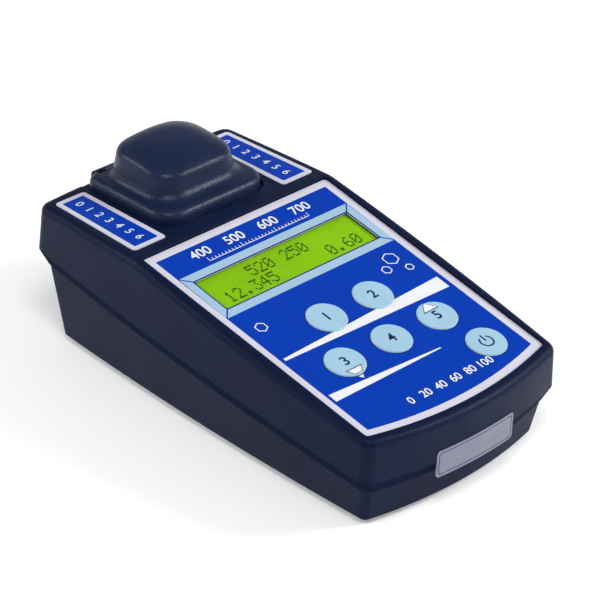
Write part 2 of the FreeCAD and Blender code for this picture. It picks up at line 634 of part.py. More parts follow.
def display_parts():
    top = BEZEL_TOP
    bottom = DISPLAY_BOARD_TOP
    y = ("-" + BEZEL_HALF_Y, BEZEL_HALF_Y)
    can = plate("bezel_can", "panel", BEZEL_HALF_X, y, (bottom, top), "bezel_corner")
    inner_x = f"({BEZEL_HALF_X} - bezel_skin)"
    inner_y = f"({BEZEL_HALF_Y} - bezel_skin)"
    hollow = box("bezel_hollow", "panel", (f"-{inner_x}", inner_x), (f"-{inner_y}", inner_y),
                 (f"{bottom} - 1", f"{top} - bezel_skin"))
    opening = box("bezel_opening", "panel", ("-window_half_x", "window_half_x"),
                  ("-window_half_y - bezel_lip", "window_half_y + bezel_lip"), (bottom, f"{top} + 1"))
    part(cut("display_bezel", can, [hollow, opening]), "display_bezel")
    glass_x = ("-" + GLASS_HALF_X, GLASS_HALF_X)
    glass_y = ("-" + GLASS_HALF_Y, GLASS_HALF_Y)
    glass_low = f"({GLASS_TOP} - glass_thick)"
    part(box("display_glass", "panel", glass_x, glass_y, (glass_low, GLASS_TOP)), "display_glass")
    lamp_top = f"{glass_low} - module_gap"
    part(box("display_backlight", "panel", glass_x, glass_y, (f"{lamp_top} - lamp_thick", lamp_top)),
         "display_backlight")
    board_y = f"({BEZEL_HALF_Y} + lcd_board_border_y)"
    board = plate("display_board_blank", "panel", "lcd_board_half_x", ("-" + board_y, board_y),
                  (f"{bottom} - board_thick", bottom), "lcd_board_corner")
    places = [(x, y) for name, (x, y, _) in panel_posts().items() if name.startswith("display")]
    part(drilled_board("display_board", board, places, "panel", f"{bottom} - board_thick", bottom), "display_board")


def key_board_parts():
    top = KEY_BOARD_TOP
    board = plate("key_board_blank", "panel", KEY_BOARD_HALF,
                  ("-power_y - key_board_front", "key_board_back - upper_row"),
                  (f"{top} - board_thick", top), "board_corner")
    places = [(x, y) for name, (x, y, _) in panel_posts().items() if name.startswith("key")]
    part(drilled_board("key_board", board, places, "panel", f"{top} - board_thick", top), "key_board")
    switches = []
    for name, (x, y) in key_places().items():
        case = box(f"switch_case_{name}", "panel", (f"{x} - switch_half", f"{x} + switch_half"),
                   (f"{y} - switch_half", f"{y} + switch_half"), (top, f"{top} + switch_body"))
        button = (f"{top} + switch_body / 2", f"{top} + switch_body + switch_cap")
        cap = rod(f"switch_cap_{name}", "panel", x, y, button, "switch_button")
        switches.append(fuse(f"switch_{name}", [case, cap]))
    part(group("tactile_switches", switches), "tactile_switches")


def main_board_parts():
    board = plate("main_board_blank", "case", "main_half", ("-main_front", "main_back"),
                  ("main_height", "main_height + board_thick"), "board_corner")
    part(drilled_board("main_board", board, standoff_places(), "case", "main_height", "main_height + board_thick"),
         "main_board")
    top = "main_height + board_thick"
    chip = plate("chip_body", "case", "chip_half", ("chip_y - chip_half", "chip_y + chip_half"),
                 (top, f"{top} + chip_thick"), "chip_corner")
    part(chip, "microcontroller")
    can = rod("buzzer_can", "case", "buzzer_x", "buzzer_y", (top, f"{top} + buzzer_height"), "buzzer_radius")
    vent = rod("buzzer_vent", "case", "buzzer_x", "buzzer_y",
               (f"{top} + buzzer_height * 0.8", f"{top} + buzzer_height * 1.1"), "buzzer_vent")
    part(cut("buzzer", can, [vent]), "buzzer")


def lid_parts():
    floor_gap = "-pocket_depth + flange_lift"
    flange = plate("lid_flange", "deck", "flange_half", ("-flange_front", "flange_back"), (floor_gap, "flange_top"))
    round_front_corners(flange, "flange_corner")
    doc.recompute()
    tip = flange.Tip
    back = VALUE["flange_back"]
    round_edges(flange, tip, lambda edge: upright(edge) and edge.Vertexes[0].Point.y > back - 0.1, "flange_rear_corner")
    doc.recompute()
    tip = flange.Tip
    highest = VALUE["flange_top"]
    round_edges(flange, tip, lambda edge: edge.BoundBox.ZMin > highest - 0.01, "flange_round")

    tower = new_body("lid_tower", "deck")
    sections = [lid_section(tower, *level) for level in lid_levels()]
    skin = tower.newObject("PartDesign::AdditiveLoft", "lid_skin")
    skin.Profile = sections[0]
    skin.Sections = sections[1:]
    doc.recompute()

    barrel = rod_x("lid_barrel", "deck", ("-ear_inner + ear_clear", "ear_inner - ear_clear"), "hinge_y", "hinge_z",
                   "barrel_radius")
    notches = [box(f"lid_notch_{i}", "deck",
                   sorted((f"{side}ear_inner - {side}ear_clear", f"{side}ear_outer + {side}ear_clear"), key=number),
                   ("hinge_y - barrel_radius - ear_clear", "hinge_y + 5"), ("-4", "8"))
               for i, side in enumerate(("", "-"))]
    body = fuse("lid_joined", [cut("lid_notched", flange, notches), tower, barrel])
    hollow = rod("lid_hollow", "deck", "0", "0", ("-4", "lid_ceiling"), "lid_bore")
    dimple = rod("lid_upper_hollow", "deck", "0", "0", ("0", "lid_dimple_top"), "lid_dimple")
    bore = rod_x("lid_pin_bore", "deck", ("-ear_inner", "ear_inner"), "hinge_y", "hinge_z", "pin_radius + pin_clear")
    seal_top = f"{floor_gap} + seal_thick - flange_lift / 2"
    groove = cut("seal_groove", rod("seal_groove_outer", "deck", "0", "0", ("-4", seal_top), "seal_outer + seal_clear"),
                 [rod("seal_groove_inner", "deck", "0", "0", ("-5", "4"), "seal_inner - seal_clear")])
    part(cut("light_shield_lid", body, [hollow, dimple, bore, groove]), "light_shield_lid")

    ring = cut("lid_seal", rod("seal_ring_outer", "deck", "0", "0",
                               (f"{seal_top} - seal_thick", f"{seal_top} - 0.02"), "seal_outer"),
               [rod("seal_ring_inner", "deck", "0", "0", ("-5", "4"), "seal_inner")])
    part(ring, "lid_seal")
    part(rod_x("hinge_pin_bar", "deck", ("-ear_outer", "ear_outer"), "hinge_y", "hinge_z", "pin_radius"), "hinge_pin")


def lid_levels():
    """Flare, inset and height of each section of the lid: cove, wall, soft crest and domed crown."""
    levels = []
    for turn in (0, 15, 30, 45, 60, 75, 90):
        angle = math.radians(turn)
        levels.append((1 - math.sin(angle), "0", f"flange_top + cove_rise * {1 - math.cos(angle):.4f}"))
    edge = 0.12
    rise = "(crown_height - crest_height)"
    for step in (0.0, 0.25, 0.5, 0.75):
        wall, crown = (1 - step) ** 2, step ** 2
        levels.append((0, f"tower_draft * {1 - crown:.4f} + tower_half_y * {edge * crown:.4f}",
                       f"crest_height - crest_round * {wall:.4f} + {rise} * {edge * (2 - edge) * crown:.4f}"))
    for share in (edge, 0.25, 0.42, 0.6, 0.78, 0.94):
        levels.append((0, f"tower_half_y * {share}", f"crest_height + {rise} * {share * (2 - share):.4f}"))
    return levels


def lid_section(body, flare, inset, lift):
    """Level of the lid: flared out at its foot, drawn in and rounder towards the middle of the crown."""
    share = f"({inset}) / tower_half_y"
    corner = f"(1 - {share}) * (tower_corner + (tower_half_y - tower_corner) * {share}) + cove_side * {flare:.4f}"
    return rounded_rectangle(body, f"tower_half_x + cove_side * {flare:.4f} - ({inset})",
                             f"({inset}) - tower_half_y - cove_front * {flare:.4f}",
                             f"tower_half_y + cove_back * {flare:.4f} - ({inset})", corner, lift)


def rounded_rectangle(body, half_x, front, back, corner, lift):
    """Rectangle with corner arcs, on a plane parallel to the body's floor."""
    sketch = new_sketch(body, "XY_Plane", lift)
    x, y, r = 12.0, 10.0, 3.0
    quarter = math.pi / 2
    starts = [(-x + r, -y, x - r, -y), (x, -y + r, x, y - r), (x - r, y, -x + r, y), (-x, y - r, -x, -y + r)]
    turns = [(x - r, -y + r, -quarter), (x - r, y - r, 0), (-x + r, y - r, quarter), (-x + r, -y + r, 2 * quarter)]
    for (x0, y0, x1, y1), (cx, cy, start) in zip(starts, turns):
        sketch.addGeometry(Part.LineSegment(Vector(x0, y0, 0), Vector(x1, y1, 0)), False)
        ring = Part.Circle(Vector(cx, cy, 0), Vector(0, 0, 1), r)
        sketch.addGeometry(Part.ArcOfCircle(ring, start, start + quarter), False)
    for i in range(8):
        sketch.addConstraint(Sketcher.Constraint("Tangent", i, 2, (i + 1) % 8, 1))
    for side in (0, 4):
        sketch.addConstraint(Sketcher.Constraint("Horizontal", side))
        sketch.addConstraint(Sketcher.Constraint("Vertical", side + 2))
    pin_point(sketch, 1, 3, f"({half_x}) - ({corner})", f"({front}) + ({corner})")
    pin_point(sketch, 5, 3, f"({corner}) - ({half_x})", f"({back}) - ({corner})")
    set_radius(sketch, 1, corner, r)
    for i in (1, 2, 3):
        sketch.addConstraint(Sketcher.Constraint("Equal", 1, 2 * i + 1))
    return sketch


def well_parts():
    top = "-roof"
    low = "-well_depth - well_floor"
    beam = "-beam_depth"
    arm_z = (f"{beam} - arm_half", f"{beam} + arm_half")
    arm_y = ("-arm_half", "arm_half")
    block = [
        rod("well_tube", "deck", "0", "0", (low, top), "well_outer"),
        box("lamp_arm", "deck", ("-arm_reach", "-arm_root"), arm_y, arm_z),
        box("detector_arm", "deck", ("arm_root", "arm_reach"), arm_y, arm_z),
    ]
    tools = [
        rod("well_bore", "deck", "0", "0", ("-well_depth", "1"), "well_radius"),
        rod_x("beam_bore", "deck", ("-arm_reach - 1", "arm_reach + 1"), "0", beam, "beam_radius"),
        rod_x("lamp_bore", "deck", ("-arm_reach - 1", "-arm_reach + lamp_length"), "0", beam, "lamp_radius + lamp_clear"),
        rod_x("cell_bore", "deck", ("arm_reach - lens_thick - filter_thick - detector_thick - 4 * optic_gap",
                                    "arm_reach + 1"), "0", beam, "cell_radius"),
    ]
    part(cut("sample_well", fuse("well_block", block), tools), "sample_well")
    lamp = fuse("lamp_body", [
        rod_x("lamp_dome", "deck", ("-arm_reach", "-arm_reach + lamp_length - optic_gap"), "0", beam, "lamp_radius"),
        rod_x("lamp_rim_disc", "deck", ("-arm_reach - lamp_rim", "-arm_reach"), "0", beam, "lamp_flange"),
    ])
    part(lamp, "light_source")
    x = "arm_reach - lens_thick - filter_thick - detector_thick - 3 * optic_gap"
    part(rod_x("lens_disc", "deck", (x, f"{x} + lens_thick"), "0", beam, "filter_radius"), "focusing_lens")
    x = "arm_reach - filter_thick - detector_thick - 2 * optic_gap"
    part(rod_x("filter_disc", "deck", (x, f"{x} + filter_thick"), "0", beam, "filter_radius"), "optical_filter")
    x = "arm_reach - detector_thick - optic_gap"
    part(rod_x("detector_can", "deck", (x, f"{x} + detector_thick + optic_gap"), "0", beam, "filter_radius"),
         "photodiode")
    card_z = (f"{beam} - card_half", f"{beam} + card_half")
    part(box("detector_card", "deck", ("arm_reach", "arm_reach + card_thick"), ("-card_half", "card_half"), card_z),
         "detector_board")
    part(box("lamp_card", "deck", ("-arm_reach - lamp_rim - card_thick", "-arm_reach - lamp_rim"),
             ("-card_half", "card_half"), card_z), "lamp_board")


def lower_housing():
    outer = lofted("lower_outer", [
        ("base", "base_bevel", "base_corner - base_bevel", "foot_height", None),
        ("base", "0", "base_corner", "foot_height + base_bevel", None),
        ("lip", "band_inset + seam_reveal", "base_corner", SEAM_Z, "lip_slope"),
    ])
    core = lofted("lower_core", [
        ("base", "wall", "inner_corner", "foot_height + floor", None),
        ("lip", "band_inset + seam_reveal + wall", "inner_corner", f"{SEAM_Z} + 0.5", "lip_slope"),
    ])
    shell = cut("lower_shell", outer, [core])
    added = [shell]
    tools = []
    for i, (x, y) in enumerate(boss_places()):
        added.append(rod(f"lower_boss_{i}", "case", x, y, ("foot_height + 1", seam_height(y)), "post_radius"))
        tools.append(rod(f"screw_way_{i}", "case", x, y, ("0", f"{seam_height(y)} + 1"), "screw_radius + screw_clear"))
        tools.append(rod(f"head_way_{i}", "case", x, y, ("0", "foot_height + screw_sink"), "screw_head + screw_clear"))
    for i, (x, y) in enumerate(foot_places()):
        tools.append(rod(f"foot_sink_{i}", "case", x, y, ("0", "foot_height + foot_sink"), "foot_radius + foot_clear"))
    # Battery bay standing on the floor
    bay_x = "(battery_half + bay_gap)"
    bay_front = "(battery_back + battery_length + bay_gap)"
    bay_back = "(battery_back - terminal_height - snap_thick - bay_gap)"
    bay = cut("battery_bay", box("bay_block", "case", (f"-{bay_x} - bay_wall", f"{bay_x} + bay_wall"),
                                 (f"-{bay_front} - bay_wall", f"-{bay_back} + bay_wall"),
                                 ("foot_height + 1", "foot_height + floor + bay_height")),
              [box("bay_hollow", "case", (f"-{bay_x}", bay_x), (f"-{bay_front}", f"-{bay_back}"),
                   ("0", "foot_height + floor + bay_height + 1"))])
    added.append(bay)
    for i, (x, y) in enumerate(standoff_places()):
        added.append(rod(f"standoff_{i}", "case", x, y, ("foot_height + 1", "main_height"), "spacer_radius"))
        tools.append(rod(f"standoff_hole_{i}", "case", x, y, ("main_height - small_depth - 1", "main_height + 1"),
                         "small_screw + pilot_clear"))
    # Door seat: a shallow bed with room to slide, and an opening into the bay
    tools.append(plate("door_bed", "case", "door_half + door_gap",
                       ("-door_front - door_gap", "-door_back + door_slide + door_gap"),
                       ("0", "foot_height + door_thick + 0.1"), "door_corner"))
    tools.append(box("door_opening", "case", ("-door_half + door_ledge", "door_half - door_ledge"),
                     ("-door_front + door_ledge", "-door_back - door_ledge"), ("0", "foot_height + floor + 0.5")))
    part(cut("lower_housing", fuse("lower_joined", added), tools), "lower_housing")


def foot_places():
    return [(f"{side}({BASE_HALF} - foot_side)", y) for side in ("", "-")
            for y in (f"-({BASE_FRONT} - foot_front)", f"{BASE_BACK} - foot_back")]


def standoff_places():
    return [(f"{side}(main_half - post_inset)", y) for side in ("", "-")
            for y in ("-main_front + post_inset", "main_back - post_inset")]


def battery_parts():
    low = "foot_height + floor + battery_lift"
    y = ("-battery_back - battery_length", "-battery_back")
    cell = plate("battery_case", "case", "battery_half", y, (low, f"{low} + battery_thick"), "battery_round")
    half_height = f"{low} + battery_thick / 2"
    terminals = []
    for i, (x, radius) in enumerate((("-terminal_x", "small_terminal"), ("terminal_x", "large_terminal"))):
        body = new_body(f"terminal_{i}")
        sketch = new_sketch(body, "XZ_Plane", "battery_back")
        circle(sketch, x, half_height, radius)
        pad(body, sketch, "terminal_height", True)
        terminals.append(body)
    part(fuse("battery_cell", [cell] + terminals), "battery")
    back = "-battery_back + terminal_height"
    snap = plate("snap_plate", "case", "battery_half - snap_side", (back, f"{back} + snap_thick"),
                 (f"{half_height} - snap_half", f"{half_height} + snap_half"), "snap_corner")
    part(snap, "battery_snap")
    panel = plate("door_panel", "case", "door_half", ("-door_front", "-door_back"),
                  ("foot_height", "foot_height + door_thick"), "door_corner")
    boss = box("door_boss", "case", ("-door_half + door_ledge + door_gap", "door_half - door_ledge - door_gap"),
               ("-door_front + door_ledge + door_gap", "-door_back - door_ledge - door_slide - door_gap"),
               ("foot_height + 0.5", "foot_height + floor"))
    grooves = []
    for i in range(3):
        near = f"-door_back - grip_start - {i} * grip_pitch"
        grooves.append(box(f"door_groove_{i}", "case", ("-grip_half", "grip_half"), (f"{near} - grip_wide", near),
                           ("0", "foot_height + grip_deep")))
    part(cut("battery_door", fuse("door_solid", [panel, boss]), grooves), "battery_door")


def label_parts():
    for label, side in (("left_side_label", "-"), ("right_side_label", "")):
        body = new_body(label + "_sheet", "deck")
        sketch = new_sketch(body, "XY_Plane", "0")
        inner = f"{side}(pocket_half + label_from_pocket)"
        corners = [(inner, "-label_front"), (f"{side}(lip_half - label_front_rim)", "-label_front"),
                   (f"{side}(lip_half - label_back_rim)", "label_back"), (inner, "label_back")]
        polygon(sketch, corners)
        solid = pad(body, sketch, "label_thick")
        round_edges(body, solid, upright, "label_corner")
        part(body, label)
    part(bowed_band("badge_plate", "badge_sink", "badge_thick", "badge_half", (BADGE_BOTTOM, BADGE_TOP)),
         "front_badge")


def fasteners():
    feet = [rod(f"foot_{i}", "case", x, y, ("0", "foot_height + foot_sink"), "foot_radius")
            for i, (x, y) in enumerate(foot_places())]
    part(group("rubber_feet", feet), "rubber_feet")
    screws = []
    for i, (x, y) in enumerate(boss_places()):
        seat = "foot_height + screw_sink"
        head = rod(f"screw_head_{i}", "case", x, y, (f"{seat} - screw_head_thick", seat), "screw_head")
        shank = rod(f"screw_shank_{i}", "case", x, y, (f"{seat} - 0.5", f"{seam_height(y)} + screw_length - 2"),
                    "screw_radius")
        screws.append(fuse(f"case_screw_{i}", [head, shank]))
    part(group("case_screws", screws), "case_screws")
    small = []
    for i, (x, y) in enumerate(standoff_places()):
        top = "main_height + board_thick"
        head = rod(f"board_head_{i}", "case", x, y, (top, f"{top} + small_head_thick"), "small_head")
        shank = rod(f"board_shank_{i}", "case", x, y, ("main_height - small_depth", f"{top} + 0.5"), "small_screw")
        small.append(fuse(f"board_screw_{i}", [head, shank]))
    for name, (x, y, level) in panel_posts().items():
        low = f"{level} - board_thick"
        head = rod(name + "_head", "panel", x, y, (f"{low} - small_head_thick", low), "small_head")
        shank = rod(name + "_shank", "panel", x, y, (f"{low} - 0.5", f"{level} + small_depth - 0.5"), "small_screw")
        small.append(fuse(name + "_screw", [head, shank]))
    part(group("board_screws", small), "board_screws")


def check_document():
    """Stop if any feature failed or any piece is not a sound solid."""
    for thing in doc.Objects:
        if "Invalid" in thing.State or "Error" in thing.State:
            raise RuntimeError(f"{thing.Name} failed: {thing.State}")
    for piece in PARTS:
        if piece.Shape.isNull() or not piece.Shape.isValid() or not piece.Shape.Solids:
            raise RuntimeError(f"{piece.Label} has no valid solid")


upper_housing()
lower_housing()
panel_parts()
display_parts()
key_board_parts()
main_board_parts()
lid_parts()
well_parts()
battery_parts()
label_parts()
fasteners()
doc.recompute()
check_document()
for piece in PARTS:
    piece.Shape.exportStep(f"parts/{piece.Label}.step")
print(len(PARTS), "pieces written")
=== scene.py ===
import math

import bpy
from mathutils import Matrix, Vector


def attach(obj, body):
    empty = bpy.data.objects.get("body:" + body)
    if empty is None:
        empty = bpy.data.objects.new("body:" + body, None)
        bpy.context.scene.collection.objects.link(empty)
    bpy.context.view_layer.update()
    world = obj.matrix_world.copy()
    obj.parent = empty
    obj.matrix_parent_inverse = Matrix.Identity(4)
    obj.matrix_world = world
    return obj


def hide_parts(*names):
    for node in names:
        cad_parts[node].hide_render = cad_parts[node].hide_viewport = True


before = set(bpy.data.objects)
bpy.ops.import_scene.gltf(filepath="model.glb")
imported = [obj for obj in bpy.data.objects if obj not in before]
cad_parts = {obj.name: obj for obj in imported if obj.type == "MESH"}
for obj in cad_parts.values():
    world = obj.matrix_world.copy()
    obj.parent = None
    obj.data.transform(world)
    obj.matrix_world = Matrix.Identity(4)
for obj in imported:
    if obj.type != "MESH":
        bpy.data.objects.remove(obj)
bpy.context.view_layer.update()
scene = bpy.context.scene
MM = 0.001

# Camera, solved from the photograph
CAMERA_PLACE = Vector((-0.54182, -0.53923, 0.50231))
CAMERA_AIM = Vector((0.60461, 0.59949, -0.52446))
CAMERA_ROLL = math.radians(2.29)
CAMERA_LENS = 174.97

# Frames of the keypad panel and of the deck behind it: a point on each and the slope
PANEL_POINT = Vector((0, 3.697, 44.250))
PANEL_SLOPE = math.radians(9.5)
DECK_POINT = Vector((0, 56.588, 48.379))
DECK_SLOPE = math.radians(-1.67)

# Keypad panel, in millimetres from the middle of the display
KEY_PLACES = {
    "escape": (-9.70, -27.2), "calibrate": (9.96, -27.2), "store": (-19.53, -45.35),
    "enter": (0.13, -45.35), "read": (19.79, -45.35), "power": (23.7, -62.52),
}
KEY_HOLE = 6.65
KEY_TOP = 0.57
KEY_TOP_RADIUS = 6.2
SCREEN = (32.25, 7.4)
SCREEN_LINE = 0.4
RING_INNER = (32.75, 7.9)
RING_OUTER = (35.56, 10.92)
MITRE_GAP = 0.35
SCREEN_TOP = -1.0
LABEL_BACK = 24.0
LABEL_BACK_HALF, LABEL_FRONT_HALF = 38.86, 37.89
BOW_RADIUS, BOW_CENTRE = 146.0, 67.95
BORDER_WIDTH = 2.95

# Prints: thickness of one layer, and the top of the blue field that the others lie on
INK = 0.03
FIELD_TOP = INK

# Backdrop: what the floor gives off to the rays that show it, and the light of the sky on the object
FLOOR_HALF = 3.0
FLOOR_GLOW = 0.25
SKY_LIGHT = 0.36
SKY_OVERHEAD = 0.25
LAMP_AIM = Vector((0, 0, 0.03))


def slope_frame(point, slope):
    """Matrix from millimetres on a sloping surface to metres in the row frame."""
    return Matrix.Scale(MM, 4) @ Matrix.Translation(point) @ Matrix.Rotation(slope, 4, "X")


PANEL = slope_frame(PANEL_POINT, PANEL_SLOPE)
DECK = slope_frame(DECK_POINT, DECK_SLOPE)


# Materials
def new_material(name):
    material = bpy.data.materials.new(name)
    material.use_nodes = True
    tree = material.node_tree
    return material, tree, tree.nodes["Principled BSDF"]


def add_node(tree, kind, **sockets):
    node = tree.nodes.new(kind)
    for key, value in sockets.items():
        node.inputs[key.replace("_", " ")].default_value = value
    return node


def noise(tree, scale, detail=3.0, stretch=(1, 1, 1)):
    where = tree.nodes.new("ShaderNodeTexCoord")
    shape = add_node(tree, "ShaderNodeMapping", Scale=stretch)
    spots = add_node(tree, "ShaderNodeTexNoise", Scale=scale, Detail=detail)
    tree.links.new(where.outputs["Object"], shape.inputs["Vector"])
    tree.links.new(shape.outputs["Vector"], spots.inputs["Vector"])
    return spots.outputs["Fac"]


def ramp(tree, source, stops):
    """Colour ramp fed by a value; stops are (place, colour)."""
    node = tree.nodes.new("ShaderNodeValToRGB")
    while len(node.color_ramp.elements) < len(stops):
        node.color_ramp.elements.new(0.5)
    for element, (place, colour) in zip(node.color_ramp.elements, stops):
        element.position = place
        element.color = (*colour, 1)
    tree.links.new(source, node.inputs["Fac"])
    return node.outputs["Color"]


def grey(value):
    return (value, value, value)


def blend(tree, share, under, over):
    """Mix of two colours; each is a socket or a plain colour."""
    mix = tree.nodes.new("ShaderNodeMix")
    mix.data_type = "RGBA"
    tree.links.new(share, mix.inputs["Factor"])
    for socket, colour in ((mix.inputs[6], under), (mix.inputs[7], over)):
        if isinstance(colour, tuple):
            socket.default_value = (*colour, 1)
        else:
            tree.links.new(colour, socket)
    return mix.outputs[2]


def calculate(tree, operation, first, second):
    """Result of one operation on two values; each is a socket or a number."""
    node = tree.nodes.new("ShaderNodeMath")
    node.operation = operation
    for socket, value in zip(node.inputs, (first, second)):
        if isinstance(value, float):
            socket.default_value = value
        else:
            tree.links.new(value, socket)
    return node.outputs["Value"]


def mottle(tree, colour, spread, scale):
    """Colour that wanders a little about its mean."""
    low = tuple(c * (1 - spread) for c in colour)
    high = tuple(min(1, c * (1 + spread)) for c in colour)
    return ramp(tree, noise(tree, scale), [(0.35, low), (0.65, high)])


def edge_mask(tree, radius):
    """One at convex and concave edges, nought on open faces."""
    soft = add_node(tree, "ShaderNodeBevel", Radius=radius)
    flat = tree.nodes.new("ShaderNodeNewGeometry")
    turn = tree.nodes.new("ShaderNodeVectorMath")
    turn.operation = "DOT_PRODUCT"
    tree.links.new(soft.outputs["Normal"], turn.inputs[0])
    tree.links.new(flat.outputs["Normal"], turn.inputs[1])
    return ramp(tree, turn.outputs["Value"], [(0.80, grey(1)), (0.985, grey(0))])


def facing_down(tree):
    """One on faces that look at the floor, nought on upright ones."""
    face = tree.nodes.new("ShaderNodeNewGeometry")
    parts = tree.nodes.new("ShaderNodeSeparateXYZ")
    tree.links.new(face.outputs["True Normal"], parts.inputs["Vector"])
    downward = calculate(tree, "MULTIPLY", parts.outputs["Z"], -1.0)
    return ramp(tree, downward, [(0.15, grey(0)), (0.35, grey(1))])


def finish_surface(tree, shader, rough, scale, depth, dull_below=False):
    """Roughness that varies from spot to spot, and a bump of the given depth in metres."""
    low, high = rough
    shade = ramp(tree, noise(tree, 90, 5), [(0.3, grey(low)), (0.7, grey(high))])
    if dull_below:
        shade = blend(tree, facing_down(tree), shade, grey(1.0))
    tree.links.new(shade, shader.inputs["Roughness"])
    bump = add_node(tree, "ShaderNodeBump", Strength=1.0, Distance=depth)
    tree.links.new(noise(tree, scale, 2.0), bump.inputs["Height"])
    tree.links.new(bump.outputs["Normal"], shader.inputs["Normal"])


def plastic(name, colour, spread=0.06, rough=(0.4, 0.5), grain=(2600, 0.00002), coat=0.0, specular=0.3,
            edge_wear_and_highlight=None):
    """Moulded or printed plastic; grain is the bump's scale and depth, and the last argument the colour laid
    on edges, partly rubbed wear and partly a painted highlight.
    """
    material, tree, shader = new_material(name)
    shade = mottle(tree, colour, spread, 60)
    # Edges are lightened here: partly wear, partly a painted highlight where rims catch the light.
    if edge_wear_and_highlight:
        patches = ramp(tree, noise(tree, 260, 4), [(0.42, grey(0.15)), (0.62, grey(0.9))])
        wear_and_highlight_share = calculate(tree, "MULTIPLY", edge_mask(tree, 0.5 * MM), patches)
        shade = blend(tree, wear_and_highlight_share, shade, edge_wear_and_highlight)
    tree.links.new(shade, shader.inputs["Base Color"])
    finish_surface(tree, shader, rough, *grain, dull_below=bool(edge_wear_and_highlight))
    shader.inputs["Specular IOR Level"].default_value = specular
    shader.inputs["Coat Weight"].default_value = coat
    shader.inputs["Coat Roughness"].default_value = 0.12
    return material


def film(name, colour, spread=0.02, rough=(0.27, 0.33), specular=0.2):
    """Printed polyester film with a fine satin texture."""
    return plastic(name, colour, spread, rough, (4200, 0.000004), specular=specular)


def metal(name, colour, rough=(0.25, 0.38), brushed=None):
    """Metal; brushed is the stretch that turns its grain into lines."""
    material, tree, shader = new_material(name)
    lines = noise(tree, 900, 4, brushed or (1, 1, 1))
    low, high = (tuple(c * k for c in colour) for k in (0.88, 1.08))
    tree.links.new(ramp(tree, lines, [(0.3, low), (0.7, high)]), shader.inputs["Base Color"])
    finish_surface(tree, shader, rough, 900, 0.000006)
    shader.inputs["Metallic"].default_value = 1.0
    return material


def clear(name, tint, ior):
    """Clear moulding that bends light."""
    material, tree, shader = new_material(name)
    tree.links.new(mottle(tree, tint, 0.01, 30), shader.inputs["Base Color"])
    finish_surface(tree, shader, (0.03, 0.06), 60, 0.000002)
    shader.inputs["Transmission Weight"].default_value = 1.0
    shader.inputs["IOR"].default_value = ior
    return material


# Case and lid edges are lightened, partly as wear and partly as a painted highlight along their rims.
CASE = plastic("case_plastic", (0.0031, 0.0088, 0.0360), spread=0.10, rough=(0.36, 0.46),
               grain=(1700, 0.00012), specular=0.10, edge_wear_and_highlight=(0.018, 0.026, 0.068))
LID = plastic("lid_plastic", (0.0065, 0.0155, 0.0520), spread=0.10, rough=(0.30, 0.38),
              grain=(1700, 0.00012), specular=0.26, edge_wear_and_highlight=(0.020, 0.030, 0.075))
BORDER = film("label_border", (0.63, 0.62, 0.72))
BLUE = film("label_blue", (0.000, 0.040, 0.400), spread=0.03, specular=0.1)
DEEP_BLUE = film("label_deep_blue", (0.003, 0.016, 0.110), spread=0.03)
PALE_BLUE = film("label_pale_blue", (0.34, 0.51, 0.67))
WHITE = film("label_white", (0.78, 0.80, 0.85))
# The key's pale edge colour is a painted highlight on its rim.
KEY = plastic("key_film", (0.34, 0.55, 0.70), spread=0.03, rough=(0.24, 0.31), grain=(4200, 0.000004),
              specular=0.35, edge_wear_and_highlight=(0.66, 0.80, 0.88))
LCD = plastic("display_green", (0.265, 0.590, 0.002), spread=0.05, rough=(0.25, 0.32),
              grain=(5000, 0.000002), specular=0.1)
LCD_DOT = plastic("display_dots", (0.045, 0.120, 0.003), spread=0.05, rough=(0.3, 0.36), specular=0.1)
WINDOW = plastic("window_clear", (0.02, 0.03, 0.03), spread=0.02, rough=(0.04, 0.08), grain=(60, 0.000002))
WINDOW.node_tree.nodes["Principled BSDF"].inputs["Alpha"].default_value = 0.05
LENS = clear("lens_clear", (0.95, 1.0, 0.97), 1.45)
BADGE = metal("badge_metal", (0.25, 0.26, 0.33), rough=(0.36, 0.46), brushed=(0.04, 1, 1))
BADGE_LINE = metal("badge_line", (0.03, 0.04, 0.10), rough=(0.40, 0.50))
STEEL = metal("steel", (0.60, 0.60, 0.61))
TIN = metal("painted_tin", (0.035, 0.05, 0.05), rough=(0.5, 0.6))
BOARD = plastic("board_green", (0.012, 0.11, 0.035), rough=(0.32, 0.42), grain=(1500, 0.00002), coat=0.3)
BLACK = plastic("black_plastic", (0.012, 0.012, 0.013), rough=(0.42, 0.55))
FELT = plastic("felt", (0.012, 0.012, 0.012), spread=0.3, rough=(0.85, 0.95), grain=(1200, 0.0002),
               specular=0.1)
RUBBER = plastic("rubber", (0.02, 0.02, 0.021), rough=(0.6, 0.75), grain=(1400, 0.00004))
DIFFUSER = plastic("lamp_diffuser", (0.70, 0.80, 0.55), rough=(0.4, 0.5))
BATTERY = plastic("battery_wrap", (0.03, 0.032, 0.035), rough=(0.25, 0.32), grain=(2600, 0.000005),
                  coat=0.4)

DRESS = {
    "upper_housing": CASE, "lower_housing": CASE, "battery_door": CASE, "light_shield_lid": LID,
    "keypad_overlay": BORDER, "left_side_label": BORDER, "right_side_label": BORDER,
    "escape_key": KEY, "calibrate_key": KEY, "store_key": KEY, "enter_key": KEY, "read_key": KEY,
    "power_key": KEY, "display_window": WINDOW, "display_glass": LCD, "display_bezel": TIN,
    "display_backlight": DIFFUSER, "display_board": BOARD, "key_board": BOARD, "main_board": BOARD,
    "detector_board": BOARD, "lamp_board": BOARD,
    "tactile_switches": BLACK, "microcontroller": BLACK, "buzzer": BLACK, "photodiode": BLACK,
    "front_badge": BADGE, "lid_seal": FELT, "hinge_pin": STEEL, "case_screws": STEEL, "board_screws": STEEL,
    "battery_snap": BLACK, "sample_well": BLACK, "light_source": LENS, "focusing_lens": LENS,
    "optical_filter": LENS, "battery": BATTERY, "rubber_feet": RUBBER,
}
for node, material in DRESS.items():
    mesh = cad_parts[node].data
    mesh.materials.clear()
    mesh.materials.append(material)


